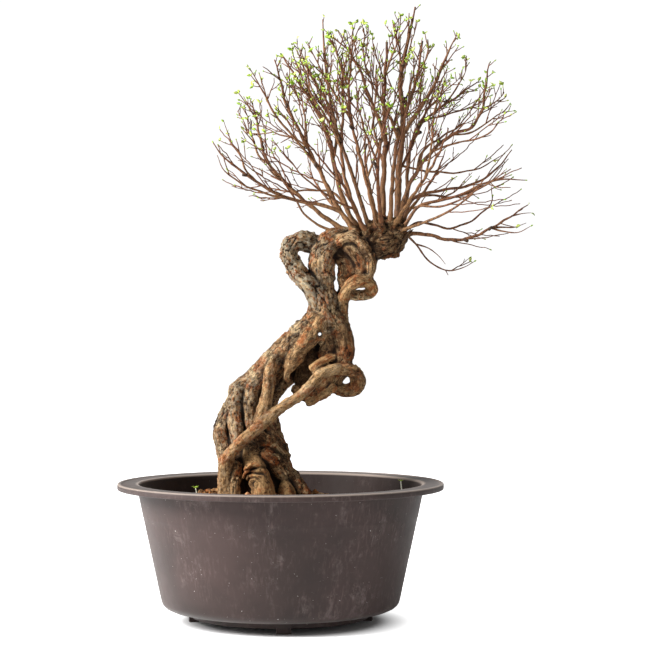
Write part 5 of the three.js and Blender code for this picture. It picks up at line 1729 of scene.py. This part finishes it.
weedLook = {
    "stem": paint(236, 234, 222),
    "fibre": paint(206, 210, 184),
    # place and height, then how many leaves and how long they are
    "seedling": (104, 20, 22, 5, 2.8),
    "sprout": (-73.5, 4, 7, 7, 3.6),
    "girth": (0.7, 0.45),
}


def stemMaterial():
    material, tree, shader = startMaterial("weed_stem", 0.5)
    fibre = noiseOf(tree, place(tree, (1, 1, 0.3)), 800, 3, 0.6)
    colour = ramp(tree, fibre, [(0.3, weedLook["fibre"]), (0.6, weedLook["stem"])])
    tree.links.new(colour, shader.inputs["Base Color"])
    bump(tree, shader, fibre, 0.0002, 0.5)
    return material


def makeWeeds():
    stem, leaf = stemMaterial(), leafMaterial()
    for name in ("seedling", "sprout"):
        x, y, height, leaves, length = weedLook[name]
        ground = soilHeight(x, y)
        draw = seededDraw(len(name) * 17)
        bundle = Bundle()
        line = [
            [x, y, ground - 6], [x, y, ground + 1],
            [x + 0.8, y, ground + height / 2], [x, y, ground + height],
        ]
        path = spaced(smoothCurve(line), 1.2)[0]
        bundle.add(*tubeShape(path, np.linspace(*weedLook["girth"], len(path)), 8), 0, 0.5)
        for i in range(leaves):
            angle = 6.283 * i / leaves + 0.4
            heading = unit(np.array([math.cos(angle), math.sin(angle), 0.7 + 0.7 * draw()]))
            reach = length * (0.8 + 0.3 * draw())
            shape = leafShape(path[-1], heading, np.array([0, 0, 1.0]), reach, length * 0.5, 0.3, 0.25)
            bundle.add(*shape, 1, 0.35 + 0.3 * draw())
        piece = bundle.piece(name + "_shoot", [stem, leaf])
        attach(piece, "root")
        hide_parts(name)
    print("weeds: seedling and sprout stand in the soil")


makeWeeds()


def meshPlastic():
    material, tree, shader = startMaterial("drainage_mesh_plastic", 0.55)
    grit = noiseOf(tree, place(tree, (1, 1, 1)), 600, 3, 0.6)
    colour = ramp(tree, grit, [(0.3, paint(24, 24, 24)), (0.7, paint(58, 54, 50))])
    tree.links.new(colour, shader.inputs["Base Color"])
    bump(tree, shader, grit, 0.0002, 0.5)
    return material


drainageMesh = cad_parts["drainage_mesh"]
drainageMesh.data.materials.clear()
drainageMesh.data.materials.append(meshPlastic())
print("drainage mesh: new plastic on the solid piece")

# Floor, light and camera

studio = {
    "floor": paint(250, 250, 250),
    "floorSpecks": paint(246, 246, 246),
    "floorGlow": 0.95,
    "floorReach": 6000,
    "world": 0.25,
    "backdrop": 1.05,
    "aim": (0, 0, 0.25),
    "eye": (38, -1720, 254.1),
    "lens": 110.8,
    "sensor": 36,
    # each light: its place in metres, its power and its width
    "key": (-2.5, -0.95, 1.7, 174, 1.2),
    "fill": (1.9, -1.8, 1.0, 5, 2.0),
    "side": (-2.4, -0.1, 0.5, 15, 1.2),
}


def makeStudio():
    reach = studio["floorReach"]
    corners = [(-reach, -reach, 0), (reach, -reach, 0), (reach, reach, 0), (-reach, reach, 0)]
    floor = makePiece("studio_floor", corners, [(0, 1, 2, 3)], [])
    material, tree, shader = startMaterial("floor_paper", 0.9)
    paper = noiseOf(tree, place(tree, (1, 1, 1)), 3, 2, 0.5)
    colour = ramp(tree, paper, [(0.2, studio["floorSpecks"]), (0.8, studio["floor"])])
    tree.links.new(colour, shader.inputs["Base Color"])
    shader.inputs["Emission Color"].default_value = (1, 1, 1, 1)
    position = place(tree, (1, 1, 1))
    away = addNode(tree, "VectorMath", {0: position, 1: tuple(potAxis)}, operation="DISTANCE")
    # painted light: the floor glows brighter away from the pot, from just outside its foot, so only the
    # shadow under the pot is left
    glow = ramp(tree, away.outputs["Value"], [(0.084, 0.0), (0.112, studio["floorGlow"])])
    seen = addNode(tree, "LightPath").outputs["Is Camera Ray"]    # so the floor's glow doesn't light the pot
    tree.links.new(maths(tree, "MULTIPLY", glow, seen), shader.inputs["Emission Strength"])
    floor.data.materials.append(material)
    floor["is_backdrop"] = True
    world = bpy.data.worlds.new("studio_air")
    bpy.context.scene.world = world
    world.use_nodes = True
    tree = world.node_tree
    background = tree.nodes["Background"]
    background.inputs["Color"].default_value = (1, 1, 1, 1)
    background.inputs["Strength"].default_value = studio["world"]
    # what is seen behind it all
    backdrop = addNode(tree, "Background", {"Color": (1, 1, 1, 1), "Strength": studio["backdrop"]})
    seen = addNode(tree, "LightPath").outputs["Is Camera Ray"]
    mixed = addNode(tree, "MixShader", {0: seen, 1: background.outputs[0], 2: backdrop.outputs[0]})
    tree.links.new(mixed.outputs[0], tree.nodes["World Output"].inputs["Surface"])
    for name in ("key", "fill", "side"):
        x, y, z, power, width = studio[name]
        light = bpy.data.lights.new(name + "_light", "AREA")
        light.energy = power
        light.size = width
        lamp = bpy.data.objects.new(name + "_light", light)
        lamp.location = (x, y, z)
        aim = Vector(studio["aim"]) - lamp.location
        lamp.rotation_euler = aim.to_track_quat("-Z", "Y").to_euler()
        bpy.context.scene.collection.objects.link(lamp)
    camera = bpy.data.cameras.new("photo_camera")
    camera.lens = studio["lens"]
    camera.sensor_width = studio["sensor"]
    eye = bpy.data.objects.new("photo_camera", camera)
    eye.location = potAxis + np.array(studio["eye"]) * milli
    eye.rotation_euler = (math.radians(90), 0, 0)
    bpy.context.scene.collection.objects.link(eye)
    bpy.context.scene.camera = eye
    bpy.context.scene.view_settings.view_transform = "Standard"
    print("studio: floor, three lights and the camera are set")


makeStudio()

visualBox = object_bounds()
for name, box in (("cad", cadBox), ("visual", visualBox)):
    print("size:", name, [[round(value, 4) for value in corner] for corner in box])
